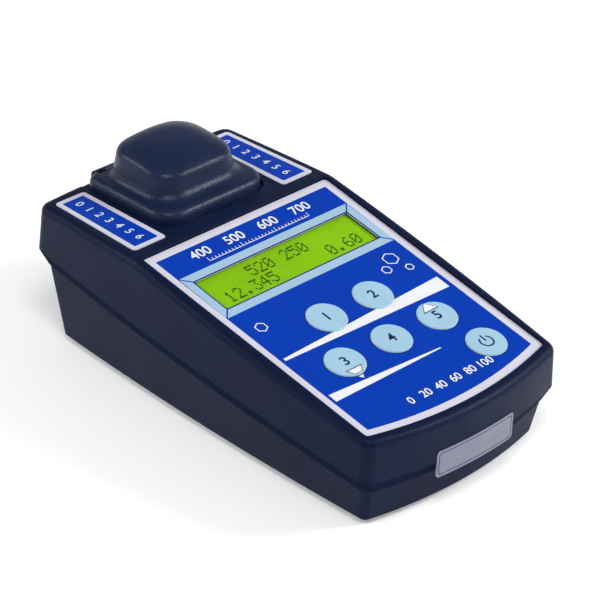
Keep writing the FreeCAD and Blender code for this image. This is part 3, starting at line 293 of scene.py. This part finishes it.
# Outlines, in millimetres
def arc_points(centre, radius, start, end, steps):
    return [(centre[0] + radius * math.cos(start + (end - start) * i / steps),
             centre[1] + radius * math.sin(start + (end - start) * i / steps)) for i in range(steps + 1)]


def ring_points(centre, radius, steps=64, start=0.0):
    return arc_points(centre, radius, start, start + 2 * math.pi, steps)[:-1]


def rounded(corners, radius, steps=6):
    """Closed outline through corners, each softened by an arc."""
    points = []
    count = len(corners)
    for i, corner in enumerate(corners):
        here = Vector(corner)
        before = (Vector(corners[i - 1]) - here).normalized()
        after = (Vector(corners[(i + 1) % count]) - here).normalized()
        half = before.angle(after) / 2
        middle = here + (before + after).normalized() * radius / math.sin(half)
        start = here + before * radius / math.tan(half)
        end = here + after * radius / math.tan(half)
        turn = (start - middle).angle_signed(end - middle)
        for k in range(steps + 1):
            spoke = (start - middle).copy()
            spoke.rotate(Matrix.Rotation(-turn * k / steps, 2))
            points.append(tuple(middle + spoke))
    return points


def rectangle(left, right, low, high, radius=0.0):
    corners = [(left, low), (right, low), (right, high), (left, high)]
    return rounded(corners, radius) if radius else corners


def about(centre, half_width, half_height, radius=0.0):
    x, y = centre
    return rectangle(x - half_width, x + half_width, y - half_height, y + half_height, radius)


def panel_outline(inset):
    """Label outline with its front edge bowed, a distance inside the sheet's own edge."""
    radius = BOW_RADIUS - inset
    back_half, front_half = LABEL_BACK_HALF - inset, LABEL_FRONT_HALF - inset
    turn = math.asin(front_half / radius)
    front_edge = arc_points((0, BOW_CENTRE), radius, -math.pi / 2 - turn, -math.pi / 2 + turn, 40)
    return front_edge + [(back_half, LABEL_BACK - inset), (-back_half, LABEL_BACK - inset)]


# Flat printed pieces
def make_piece(name, meshes, place, material, body):
    """One object from meshes drawn in millimetres, joined and laid in place."""
    joined = bpy.data.meshes.new(name)
    points, faces = [], []
    for mesh in meshes:
        first = len(points)
        points += [tuple(point.co) for point in mesh.vertices]
        faces += [tuple(first + i for i in face.vertices) for face in mesh.polygons]
        bpy.data.meshes.remove(mesh)
    joined.from_pydata(points, [], faces)
    joined.transform(place)
    joined.materials.append(material)
    piece = bpy.data.objects.new(name, joined)
    scene.collection.objects.link(piece)
    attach(piece, body)
    return piece


def curve_mesh(curve, thick):
    """Mesh of a filled flat curve, with its lower face at nought."""
    curve.fill_mode = "BOTH"
    curve.extrude = thick / 2
    drawn = bpy.data.objects.new("outline", curve)
    scene.collection.objects.link(drawn)
    bpy.context.view_layer.update()
    mesh = bpy.data.meshes.new_from_object(drawn.evaluated_get(bpy.context.evaluated_depsgraph_get()))
    bpy.data.objects.remove(drawn)
    mesh.transform(Matrix.Translation((0, 0, thick / 2)))
    return mesh


def outline_mesh(outlines, thick):
    """Plate through outlines; those inside another one are holes."""
    curve = bpy.data.curves.new("outline", "CURVE")
    curve.dimensions = "2D"
    for outline in outlines:
        spline = curve.splines.new("POLY")
        spline.points.add(len(outline) - 1)
        for point, (u, v) in zip(spline.points, outline):
            point.co = (u, v, 0, 1)
        spline.use_cyclic_u = True
    mesh = curve_mesh(curve, thick)
    bpy.data.curves.remove(curve)
    return mesh


def number_mesh(text, centre, size, turn, weight):
    """Plate in the shape of a number; weight is what its strokes gain on each side."""
    curve = bpy.data.curves.new("number", "FONT")
    curve.body = text
    curve.size = size
    curve.offset = weight
    curve.align_x = "CENTER"
    curve.align_y = "CENTER"
    mesh = curve_mesh(curve, INK)
    bpy.data.curves.remove(curve)
    mesh.transform(Matrix.Translation((*centre, 0)) @ Matrix.Rotation(turn, 4, "Z"))
    return mesh


def print_on(name, outlines, place, lift, material, body="case", thick=INK):
    lifted = place @ Matrix.Translation((0, 0, lift))
    return make_piece(name, [outline_mesh(outlines, thick)], lifted, material, body)


def print_numbers(name, numbers, place, lift, material, body="case"):
    """Numbers are (text, centre, size, turn, weight)."""
    lifted = place @ Matrix.Translation((0, 0, lift))
    return make_piece(name, [number_mesh(*number) for number in numbers], lifted, material, body)


# Keypad sheet: the scale over the display, the row of numbers at the front, bands and hexagons
SCALE_START, SCALE_END, SCALE_LEVEL = -21.0, 21.0, 12.6
SCALE_LINE, TICK_HALF, LONG_TICK, SHORT_TICK = 0.25, 0.12, 1.5, 0.9
SCALE_TICKS = 31
SCALE_NUMBERS = ("400", "500", "600", "700")
SCALE_NUMBER_RISE, SCALE_NUMBER_SIZE, SCALE_NUMBER_WEIGHT = 1.9, 5.2, 0.07
FOOT_START, FOOT_STEP, FOOT_LEVEL, FOOT_SIZE, FOOT_WEIGHT = -15.0, 6.3, -68.8, 4.2, 0.045
BANDS = (
    ((-34.0, -33.9), (33.6, -31.6), (33.6, -37.2), (-34.0, -35.0)),
    ((-34.0, -53.3), (10.0, -56.3), (10.0, -56.7), (-34.0, -56.7)),
)
HEXAGONS = (((27.6, -17.2), 2.9), ((22.6, -20.6), 1.9), ((29.9, -23.4), 1.6), ((-29.5, -19.5), 2.2))
HEXAGON_LINE, HEXAGON_TURN = 0.4, math.radians(30)


def key_holes():
    return [ring_points(place, KEY_HOLE) for place in KEY_PLACES.values()]


def blue_field():
    hole = about((0, 0), SCREEN[0] + SCREEN_LINE, SCREEN[1] + SCREEN_LINE, 1.0)
    print_on("label_blue_field", [panel_outline(BORDER_WIDTH), hole] + key_holes(), PANEL, 0, BLUE)
    line = [hole, about((0, 0), *SCREEN, 0.8)]
    print_on("display_line", line, PANEL, 0, DEEP_BLUE)


def display_ring():
    """Four pale strips round the display, with a gap at each mitred corner."""
    inner_x, inner_y = RING_INNER
    outer_x, outer_y = RING_OUTER
    gap = MITRE_GAP
    strips = []
    for side in (-1, 1):
        strips.append([(-outer_x + gap, side * outer_y), (outer_x - gap, side * outer_y),
                       (inner_x - gap, side * inner_y), (-inner_x + gap, side * inner_y)])
        strips.append([(side * outer_x, -outer_y + gap), (side * outer_x, outer_y - gap),
                       (side * inner_x, inner_y - gap), (side * inner_x, -inner_y + gap)])
    print_on("display_ring", strips, PANEL, FIELD_TOP, PALE_BLUE)


def head_scale():
    """White scale over the display: a line, its ticks and a number over each long tick."""
    foot = SCALE_LEVEL + SCALE_LINE
    strips = [rectangle(SCALE_START, SCALE_END, SCALE_LEVEL, foot)]
    step = (SCALE_END - SCALE_START) / (SCALE_TICKS - 1)
    between = (SCALE_TICKS - 1) // (len(SCALE_NUMBERS) - 1)
    for i in range(SCALE_TICKS):
        middle = SCALE_START + i * step
        tall = SHORT_TICK if i % between else LONG_TICK
        strips.append(rectangle(middle - TICK_HALF, middle + TICK_HALF, foot, foot + tall))
    print_on("head_scale_ticks", strips, PANEL, FIELD_TOP, WHITE)
    level = SCALE_LEVEL + SCALE_NUMBER_RISE + SCALE_NUMBER_SIZE / 2
    numbers = []
    for i, text in enumerate(SCALE_NUMBERS):
        centre = (SCALE_START + i * between * step, level)
        numbers.append((text, centre, SCALE_NUMBER_SIZE, 0, SCALE_NUMBER_WEIGHT))
    print_numbers("head_scale_numbers", numbers, PANEL, FIELD_TOP, WHITE)


def foot_numbers():
    """Row of white numbers along the front of the sheet."""
    numbers = [(str(20 * i), (FOOT_START + FOOT_STEP * i, FOOT_LEVEL), FOOT_SIZE, 0, FOOT_WEIGHT)
               for i in range(6)]
    print_numbers("foot_numbers", numbers, PANEL, FIELD_TOP, WHITE)


def artwork():
    """Plain tapered bands behind the keys and a few outlined hexagons."""
    print_on("white_bands", BANDS, PANEL, FIELD_TOP, WHITE)
    rings = [ring_points(place, size, 6, HEXAGON_TURN)
             for place, radius in HEXAGONS for size in (radius, radius - HEXAGON_LINE)]
    print_on("white_hexagons", rings, PANEL, FIELD_TOP, WHITE)


# Keys
KEY_NUMBER_SIZE, KEY_NUMBER_WEIGHT = 5.2, 0.09
POWER_OUTER, POWER_INNER, POWER_OPENING = 2.5, 1.95, math.radians(35)
POWER_BAR_HALF, POWER_BAR_REACH, POWER_BAR_RISE = 0.28, 1.5, 1.6
ARROW_LINE = 0.35
ARROW_KEY_GAP, ARROW_SHEET_GAP = 0.2, 0.15


def key_numbers():
    for number, key in enumerate(("escape", "calibrate", "store", "enter", "read"), start=1):
        sign = (str(number), KEY_PLACES[key], KEY_NUMBER_SIZE, 0, KEY_NUMBER_WEIGHT)
        print_numbers(key + "_number", [sign], PANEL, KEY_TOP, DEEP_BLUE, key + "_button")


def power_sign():
    """Open ring with a bar through its opening."""
    centre = KEY_PLACES["power"]
    start, end = math.pi / 2 + POWER_OPENING, 5 * math.pi / 2 - POWER_OPENING
    ring = arc_points(centre, POWER_OUTER, start, end, 40) + arc_points(centre, POWER_INNER, end, start, 40)
    bar = about((centre[0], centre[1] + POWER_BAR_RISE), POWER_BAR_HALF, POWER_BAR_REACH, 0.2)
    print_on("power_sign", [ring, bar], PANEL, KEY_TOP, DEEP_BLUE, "power_button")


def wedge(centre, side, half, base, tip, cut):
    """Part of a triangle from its base to a cut short of its tip, pointing along the panel."""
    u, v = centre
    end = half * (tip - cut) / (tip - base)
    foot, top = v + side * base, v + side * cut
    return [(u - half, foot), (u + half, foot), (u + end, top), (u - end, top)]


def key_arrow(key, side, half, base, tip):
    """White triangle with a dark outline on a key; its tip may run on over the sheet."""
    centre = KEY_PLACES[key]
    cut = KEY_TOP_RADIUS - ARROW_KEY_GAP
    body = key + "_button"
    edge = wedge(centre, side, half, base, tip, cut)
    print_on(f"{key}_arrow_edge", [edge], PANEL, KEY_TOP, DEEP_BLUE, body, INK / 2)
    fill = wedge(centre, side, half - 1.5 * ARROW_LINE, base + ARROW_LINE, tip - ARROW_LINE,
                 cut - ARROW_LINE / 2)
    print_on(f"{key}_arrow_fill", [fill], PANEL, KEY_TOP + INK / 2, WHITE, body, INK / 2)
    beyond = KEY_HOLE + ARROW_SHEET_GAP
    if tip > beyond:
        past = half * (tip - beyond) / (tip - base)
        end = wedge(centre, side, past, beyond, tip, tip - 0.05)
        print_on(f"{key}_arrow_tip", [end], PANEL, FIELD_TOP, WHITE)


# Display
DIGITS = {
    "0": ("01110", "10001", "10011", "10101", "11001", "10001", "01110"),
    "1": ("00100", "01100", "00100", "00100", "00100", "00100", "01110"),
    "2": ("01110", "10001", "00001", "00010", "00100", "01000", "11111"),
    "3": ("11111", "00010", "00100", "00010", "00001", "10001", "01110"),
    "4": ("00010", "00110", "01010", "10010", "11111", "00010", "00010"),
    "5": ("11111", "10000", "11110", "00001", "00001", "10001", "01110"),
    "6": ("00110", "01000", "10000", "11110", "10001", "10001", "01110"),
    ".": ("00000", "00000", "00000", "00000", "00000", "01100", "01100"),
}
DOT_PITCH = (0.60, 0.70)
DOT_SIZE = (0.55, 0.65)
DOT_THICK = 0.02
LETTER_PITCH = 3.55
ROW_START = -28.1
ROW_TOPS = (5.55, -0.40)
SCREEN_TEXTS = (("520 250", 0, 4), ("12.345", 1, 0), ("0.60", 1, 12))


def screen_digits():
    """Two rows of dot numbers on the display glass; a text starts at a row and a column."""
    dots = []
    for text, row, column in SCREEN_TEXTS:
        for i, sign in enumerate(text):
            left = ROW_START + (column + i) * LETTER_PITCH
            for down, line in enumerate(DIGITS.get(sign, ())):
                for across, lit in enumerate(line):
                    if lit == "1":
                        x = left + across * DOT_PITCH[0]
                        y = ROW_TOPS[row] - down * DOT_PITCH[1]
                        dots.append(rectangle(x, x + DOT_SIZE[0], y - DOT_SIZE[1], y))
    print_on("display_digits", dots, PANEL, SCREEN_TOP, LCD_DOT, "case", DOT_THICK)


# Labels beside the lid
SIDE_INNER, SIDE_OUTER_BACK, SIDE_OUTER_FRONT = 26.6, 36.1, 35.0
SIDE_LOW, SIDE_HIGH = -22.8, 12.6
SIDE_TOP = 0.3
SIDE_CORNER = 0.5
SIDE_NUMBER_X, SIDE_NUMBER_INSET, SIDE_NUMBER_STEP = 31.1, 3.6, 4.7
SIDE_NUMBER_SIZE, SIDE_NUMBER_WEIGHT = 4.3, 0.02


def side_label_print():
    for name, side in (("left", -1), ("right", 1)):
        corners = [(side * SIDE_INNER, SIDE_LOW), (side * SIDE_OUTER_BACK, SIDE_LOW),
                   (side * SIDE_OUTER_FRONT, SIDE_HIGH), (side * SIDE_INNER, SIDE_HIGH)]
        if side < 0:
            corners.reverse()
        print_on(f"{name}_label_field", [rounded(corners, SIDE_CORNER)], DECK, SIDE_TOP, BLUE)
        numbers = []
        for i in range(7):
            centre = (side * SIDE_NUMBER_X, SIDE_HIGH - SIDE_NUMBER_INSET - SIDE_NUMBER_STEP * i)
            numbers.append((str(i), centre, SIDE_NUMBER_SIZE, -math.pi / 2, SIDE_NUMBER_WEIGHT))
        print_numbers(f"{name}_label_numbers", numbers, DECK, SIDE_TOP + INK, WHITE)


# Badge on the bowed front
BADGE_BOW, BADGE_BOW_CENTRE = 145.88, 68.0
BADGE_HALF, BADGE_LOW, BADGE_HIGH, BADGE_CORNER = 16.4, 12.6, 21.9, 1.4
LINE_OUTER, LINE_INNER, LINE_PROUD = 0.8, 1.1, INK / 3


def finer(outline, parts):
    """The same outline with each run divided."""
    points = []
    for i, (x, z) in enumerate(outline):
        next_x, next_z = outline[(i + 1) % len(outline)]
        points += [(x + (next_x - x) * k / parts, z + (next_z - z) * k / parts) for k in range(parts)]
    return points


def ring_solid(loops):
    """Points and faces of a closed band through loops of equal length."""
    count = len(loops[0])
    faces = []
    for a in range(len(loops)):
        b = (a + 1) % len(loops)
        faces += [(a * count + i, a * count + (i + 1) % count, b * count + (i + 1) % count, b * count + i)
                  for i in range(count)]
    return [point for loop in loops for point in loop], faces


def badge_line():
    """Thin line a little inside the badge's edge, laid on its bowed face."""
    loops = []
    section = ((LINE_OUTER, 0), (LINE_OUTER, LINE_PROUD), (LINE_INNER, LINE_PROUD), (LINE_INNER, 0))
    for inset, proud in section:
        half = BADGE_HALF - inset
        edge = rectangle(-half, half, BADGE_LOW + inset, BADGE_HIGH - inset, BADGE_CORNER - inset / 2)
        bow = BADGE_BOW + proud
        loops.append([(x, BADGE_BOW_CENTRE - math.sqrt(bow * bow - x * x), z) for x, z in finer(edge, 8)])
    points, faces = ring_solid(loops)
    mesh = bpy.data.meshes.new("badge_line")
    mesh.from_pydata(points, [], faces)
    make_piece("badge_line", [mesh], Matrix.Scale(MM, 4), BADGE_LINE, "case")


# Lid, in millimetres on the deck from the middle of its pocket.
# A shape is its half width, its reach to the front and its reach to the back.
LID_STEPS = 144
LID_BASE, FLANGE_TOP, FLANGE_ROUND = -1.1, 4.1, 2.4
FLANGE, FLANGE_CORNERS = (22.0, 21.6, 17.9), (8.0, 5.0)
TOWER, TOWER_CORNER, DRAFT = (17.0, 14.9, 14.3), 8.8, 0.4
COVE, COVE_RISE, COVE_CORNER_SHARE = (2.5, 4.2, 1.1), 3.8, 0.6
CREST, CREST_INSET, CREST_TURN, CREST_TILT = 12.0, 1.6, 1.9, 0.06
CREST_SHARE = 1 - CREST_INSET / TOWER[1]
CROWN, CROWN_FULLNESS, CROWN_LEAN = 16.6, 3.2, 0.8
TURN_STEPS, COVE_STEPS, CROWN_STEPS = 8, 12, 20
POLE_SHARE = 0.001

# Hollow below the lid, as radius and height: the groove of the seal, then the stepped bore
LID_WELL = (
    (16.15, -1.1), (16.15, -0.25), (13.45, -0.25), (13.45, -1.1),
    (12.7, -1.1), (12.7, 10.6), (7.6, 10.6), (7.6, 13.2), (0.01, 13.2),
)

# Hinge barrel along the back, and the notches at its ends that clear the ears
BARREL_Y, BARREL_Z, BARREL_RADIUS, BARREL_HALF = 17.4, 1.4, 2.3, 14.25
PIN_HOLE, PIN_HOLE_PAST = 1.06, 3.0
NOTCH_INNER, NOTCH_OUTER, NOTCH_GAP = 14.25, 17.55, 0.35
NOTCH_BACK, NOTCH_LOW, NOTCH_HIGH = 5.0, -4.0, 8.0
SMOOTH_BELOW = math.radians(35)


def reach(angle, shape, corner):
    """Distance from the middle to a rounded rectangle's edge."""
    half = shape[0]
    depth = shape[2] if math.sin(angle) > 0 else shape[1]
    across, along = abs(math.cos(angle)), abs(math.sin(angle))
    if half * along <= (depth - corner) * across:
        return half / across
    if depth * across <= (half - corner) * along:
        return depth / along
    middle = Vector((half - corner, depth - corner))
    near = middle.dot((across, along))
    return near + math.sqrt(near * near - middle.length_squared + corner * corner)


def oval_reach(angle, shape):
    depth = shape[2] if math.sin(angle) > 0 else shape[1]
    return 1 / math.hypot(math.cos(angle) / shape[0], math.sin(angle) / depth)


def lid_angles():
    return [2 * math.pi * (i + 0.5) / LID_STEPS for i in range(LID_STEPS)]


def lid_loop(shape, corners, lift):
    """Level of the lid at one height."""
    points = []
    for angle in lid_angles():
        span = reach(angle, shape, corners[1] if math.sin(angle) > 0 else corners[0])
        points.append((span * math.cos(angle), span * math.sin(angle), lift))
    return points


def crown_loop(share, lift):
    """Tower's outline drawn towards the middle, rounder on the way; lift gives the height at an angle."""
    points = []
    squareness = share ** 3
    for angle in lid_angles():
        square = reach(angle, TOWER, TOWER_CORNER)
        oval = oval_reach(angle, TOWER)
        span = share * (squareness * square + (1 - squareness) * oval)
        v = span * math.sin(angle)
        points.append((span * math.cos(angle), v, lift(angle) + CREST_TILT * v))
    return points


def drawn_in(shape, inset):
    return tuple(side - inset for side in shape)


def flange_loops():
    """Upright edge of the flange and the quarter turn over it."""
    loops = [lid_loop(FLANGE, FLANGE_CORNERS, LID_BASE)]
    for step in range(TURN_STEPS + 1):
        turn = math.pi / 2 * step / TURN_STEPS
        inset = FLANGE_ROUND * (1 - math.cos(turn))
        corners = [corner - inset for corner in FLANGE_CORNERS]
        lift = FLANGE_TOP - FLANGE_ROUND * (1 - math.sin(turn))
        loops.append(lid_loop(drawn_in(FLANGE, inset), corners, lift))
    return loops


def cove_loops():
    """Hollow curve from the flange up into the wall of the tower."""
    loops = []
    for step in range(COVE_STEPS + 1):
        turn = math.pi / 2 * step / COVE_STEPS
        flare = 1 - math.sin(turn)
        shape = [side + out * flare for side, out in zip(TOWER, COVE)]
        corner = TOWER_CORNER + COVE[0] * flare * COVE_CORNER_SHARE
        loops.append(lid_loop(shape, (corner, corner), FLANGE_TOP + COVE_RISE * (1 - math.cos(turn))))
    return loops


def fullness(angle):
    """Power of the dome's curve: fuller towards the back."""
    return CROWN_FULLNESS + CROWN_LEAN * math.sin(angle)


def crown_lift(angle, share):
    return CREST + (CROWN - CREST) * (1 - share ** fullness(angle))


def crest_lift(angle, t):
    """Height on the turn from the drawn-in wall to the crown, tangent to both."""
    end = crown_lift(angle, CREST_SHARE)
    power = fullness(angle)
    fall = (CROWN - CREST) * power * CREST_SHARE ** (power - 1) / TOWER[1]
    corner = end - fall * (CREST_INSET - DRAFT)
    return (corner - CREST_TURN) * (1 - t) ** 2 + corner * 2 * t * (1 - t) + end * t * t


def crest_loops():
    loops = []
    for step in range(TURN_STEPS + 1):
        t = step / TURN_STEPS
        inset = DRAFT * (1 - t * t) + CREST_INSET * t * t
        loops.append(crown_loop(1 - inset / TOWER[1], lambda angle, t=t: crest_lift(angle, t)))
    return loops


def crown_loops():
    shares = [CREST_SHARE * (1 - step / CROWN_STEPS) for step in range(1, CROWN_STEPS)] + [POLE_SHARE]
    return [crown_loop(share, lambda angle, share=share: crown_lift(angle, share)) for share in shares]


def lid_mesh():
    """Outer face from the foot to the crown, then the hollow; they meet in a hair-thin neck at the middle."""
    hollow = [lid_loop((radius,) * 3, (radius,) * 2, lift) for radius, lift in reversed(LID_WELL)]
    loops = flange_loops() + cove_loops() + crest_loops() + crown_loops()
    points, faces = ring_solid(loops + hollow)
    mesh = bpy.data.meshes.new("lid")
    mesh.from_pydata(points, [], faces)
    return mesh


def rod_mesh(radius, half, steps=48):
    """Rod along the hinge's axis."""
    circle = ring_points((BARREL_Y, BARREL_Z), radius, steps)
    points = [(side * half, y, z) for side in (-1, 1) for y, z in circle]
    faces = [(i, (i + 1) % steps, steps + (i + 1) % steps, steps + i) for i in range(steps)]
    faces += [tuple(reversed(range(steps))), tuple(range(steps, 2 * steps))]
    mesh = bpy.data.meshes.new("rod")
    mesh.from_pydata(points, [], faces)
    return mesh


def block_mesh(low, high):
    points = [(x, y, z) for x in (low[0], high[0]) for y in (low[1], high[1]) for z in (low[2], high[2])]
    faces = [(0, 1, 3, 2), (4, 6, 7, 5), (0, 4, 5, 1), (2, 3, 7, 6), (0, 2, 6, 4), (1, 5, 7, 3)]
    mesh = bpy.data.meshes.new("block")
    mesh.from_pydata(points, [], faces)
    return mesh


def combine(mesh, tool, how):
    """Mesh joined with or cut by another."""
    holder, cutter = (bpy.data.objects.new(name, data) for name, data in (("whole", mesh), ("tool", tool)))
    for item in (holder, cutter):
        scene.collection.objects.link(item)
    change = holder.modifiers.new("combine", "BOOLEAN")
    change.operation = how
    change.solver = "EXACT"
    change.object = cutter
    bpy.context.view_layer.update()
    result = bpy.data.meshes.new_from_object(holder.evaluated_get(bpy.context.evaluated_depsgraph_get()))
    for item in (holder, cutter):
        bpy.data.objects.remove(item)
    return result


def dress_lid():
    """Lid with its barrel, pin hole and notches, in place of the plain one."""
    mesh = lid_mesh()
    front, back = BARREL_Y - BARREL_RADIUS - NOTCH_GAP, BARREL_Y + NOTCH_BACK
    for side in (-1, 1):
        inner, outer = sorted((side * NOTCH_INNER, side * NOTCH_OUTER))
        notch = block_mesh((inner, front, NOTCH_LOW), (outer, back, NOTCH_HIGH))
        mesh = combine(mesh, notch, "DIFFERENCE")
    mesh = combine(mesh, rod_mesh(BARREL_RADIUS, BARREL_HALF), "UNION")
    mesh = combine(mesh, rod_mesh(PIN_HOLE, BARREL_HALF + PIN_HOLE_PAST), "DIFFERENCE")
    piece = make_piece("lid_shell", [mesh], DECK, LID, "lid")
    piece.data.shade_smooth()
    piece.data.set_sharp_from_angle(angle=SMOOTH_BELOW)
    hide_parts("light_shield_lid")


blue_field()
display_ring()
head_scale()
foot_numbers()
artwork()
key_numbers()
power_sign()
key_arrow("store", side=-1, half=3.25, base=3.5, tip=8.2)
key_arrow("read", side=1, half=3.2, base=2.5, tip=6.7)
screen_digits()
side_label_print()
badge_line()
dress_lid()


# Floor, lamps, camera
def backdrop_rays(tree):
    """One for rays that show the backdrop: from the camera, from gloss and through glass."""
    path = tree.nodes.new("ShaderNodeLightPath")
    total = path.outputs["Is Camera Ray"]
    for name in ("Is Glossy Ray", "Is Transmission Ray"):
        total = calculate(tree, "MAXIMUM", total, path.outputs[name])
    return total


def make_floor():
    mesh = bpy.data.meshes.new("floor")
    corners = [(x * FLOOR_HALF, y * FLOOR_HALF, 0) for x, y in ((-1, -1), (1, -1), (1, 1), (-1, 1))]
    mesh.from_pydata(corners, [], [(0, 1, 2, 3)])
    floor = bpy.data.objects.new("floor", mesh)
    scene.collection.objects.link(floor)
    material, tree, shader = new_material("floor_white")
    tree.links.new(mottle(tree, (0.93, 0.93, 0.94), 0.01, 3), shader.inputs["Base Color"])
    finish_surface(tree, shader, (0.8, 0.9), 40, 0.00001)
    mesh.materials.append(material)
    glow = calculate(tree, "MULTIPLY", backdrop_rays(tree), FLOOR_GLOW)
    shader.inputs["Emission Color"].default_value = (1, 1, 1, 1)
    tree.links.new(glow, shader.inputs["Emission Strength"])


def make_world():
    """Soft sky: as a backdrop white at the skyline and grey overhead, as a light one plain grey."""
    world = bpy.data.worlds.new("studio")
    world.use_nodes = True
    tree = world.node_tree
    background = tree.nodes["Background"]
    where = tree.nodes.new("ShaderNodeTexCoord")
    parts = tree.nodes.new("ShaderNodeSeparateXYZ")
    tree.links.new(where.outputs["Generated"], parts.inputs["Vector"])
    stops = [(0.05, grey(1.0)), (0.28, grey(SKY_OVERHEAD)), (1.0, grey(SKY_OVERHEAD))]
    sky = ramp(tree, parts.outputs["Z"], stops)
    shade = blend(tree, backdrop_rays(tree), grey(SKY_LIGHT), sky)
    tree.links.new(shade, background.inputs["Color"])
    scene.world = world


def make_lamp(name, place, size, power):
    """Square lamp turned to the object; size in metres and power in watts."""
    light = bpy.data.lights.new(name, "AREA")
    light.shape = "SQUARE"
    light.size = size
    light.energy = power
    lamp = bpy.data.objects.new(name, light)
    lamp.location = place
    lamp.rotation_euler = (LAMP_AIM - Vector(place)).to_track_quat("-Z", "Y").to_euler()
    scene.collection.objects.link(lamp)


def make_camera():
    camera = bpy.data.objects.new("camera", bpy.data.cameras.new("camera"))
    camera.data.lens = CAMERA_LENS
    camera.data.sensor_width = 36.0
    camera.location = CAMERA_PLACE
    turn = CAMERA_AIM.to_track_quat("-Z", "Y").to_matrix() @ Matrix.Rotation(CAMERA_ROLL, 3, "Z")
    camera.rotation_euler = turn.to_euler()
    scene.collection.objects.link(camera)
    scene.camera = camera


make_floor()
make_world()
make_lamp("right_lamp", (0.64, -0.52, 0.58), 0.34, 6.0)
make_lamp("left_lamp", (-0.60, 0.60, 0.52), 0.32, 2.6)
make_lamp("front_lamp", (-0.30, -0.34, 0.90), 0.28, 3.2)
make_camera()
scene.view_settings.view_transform = "Standard"
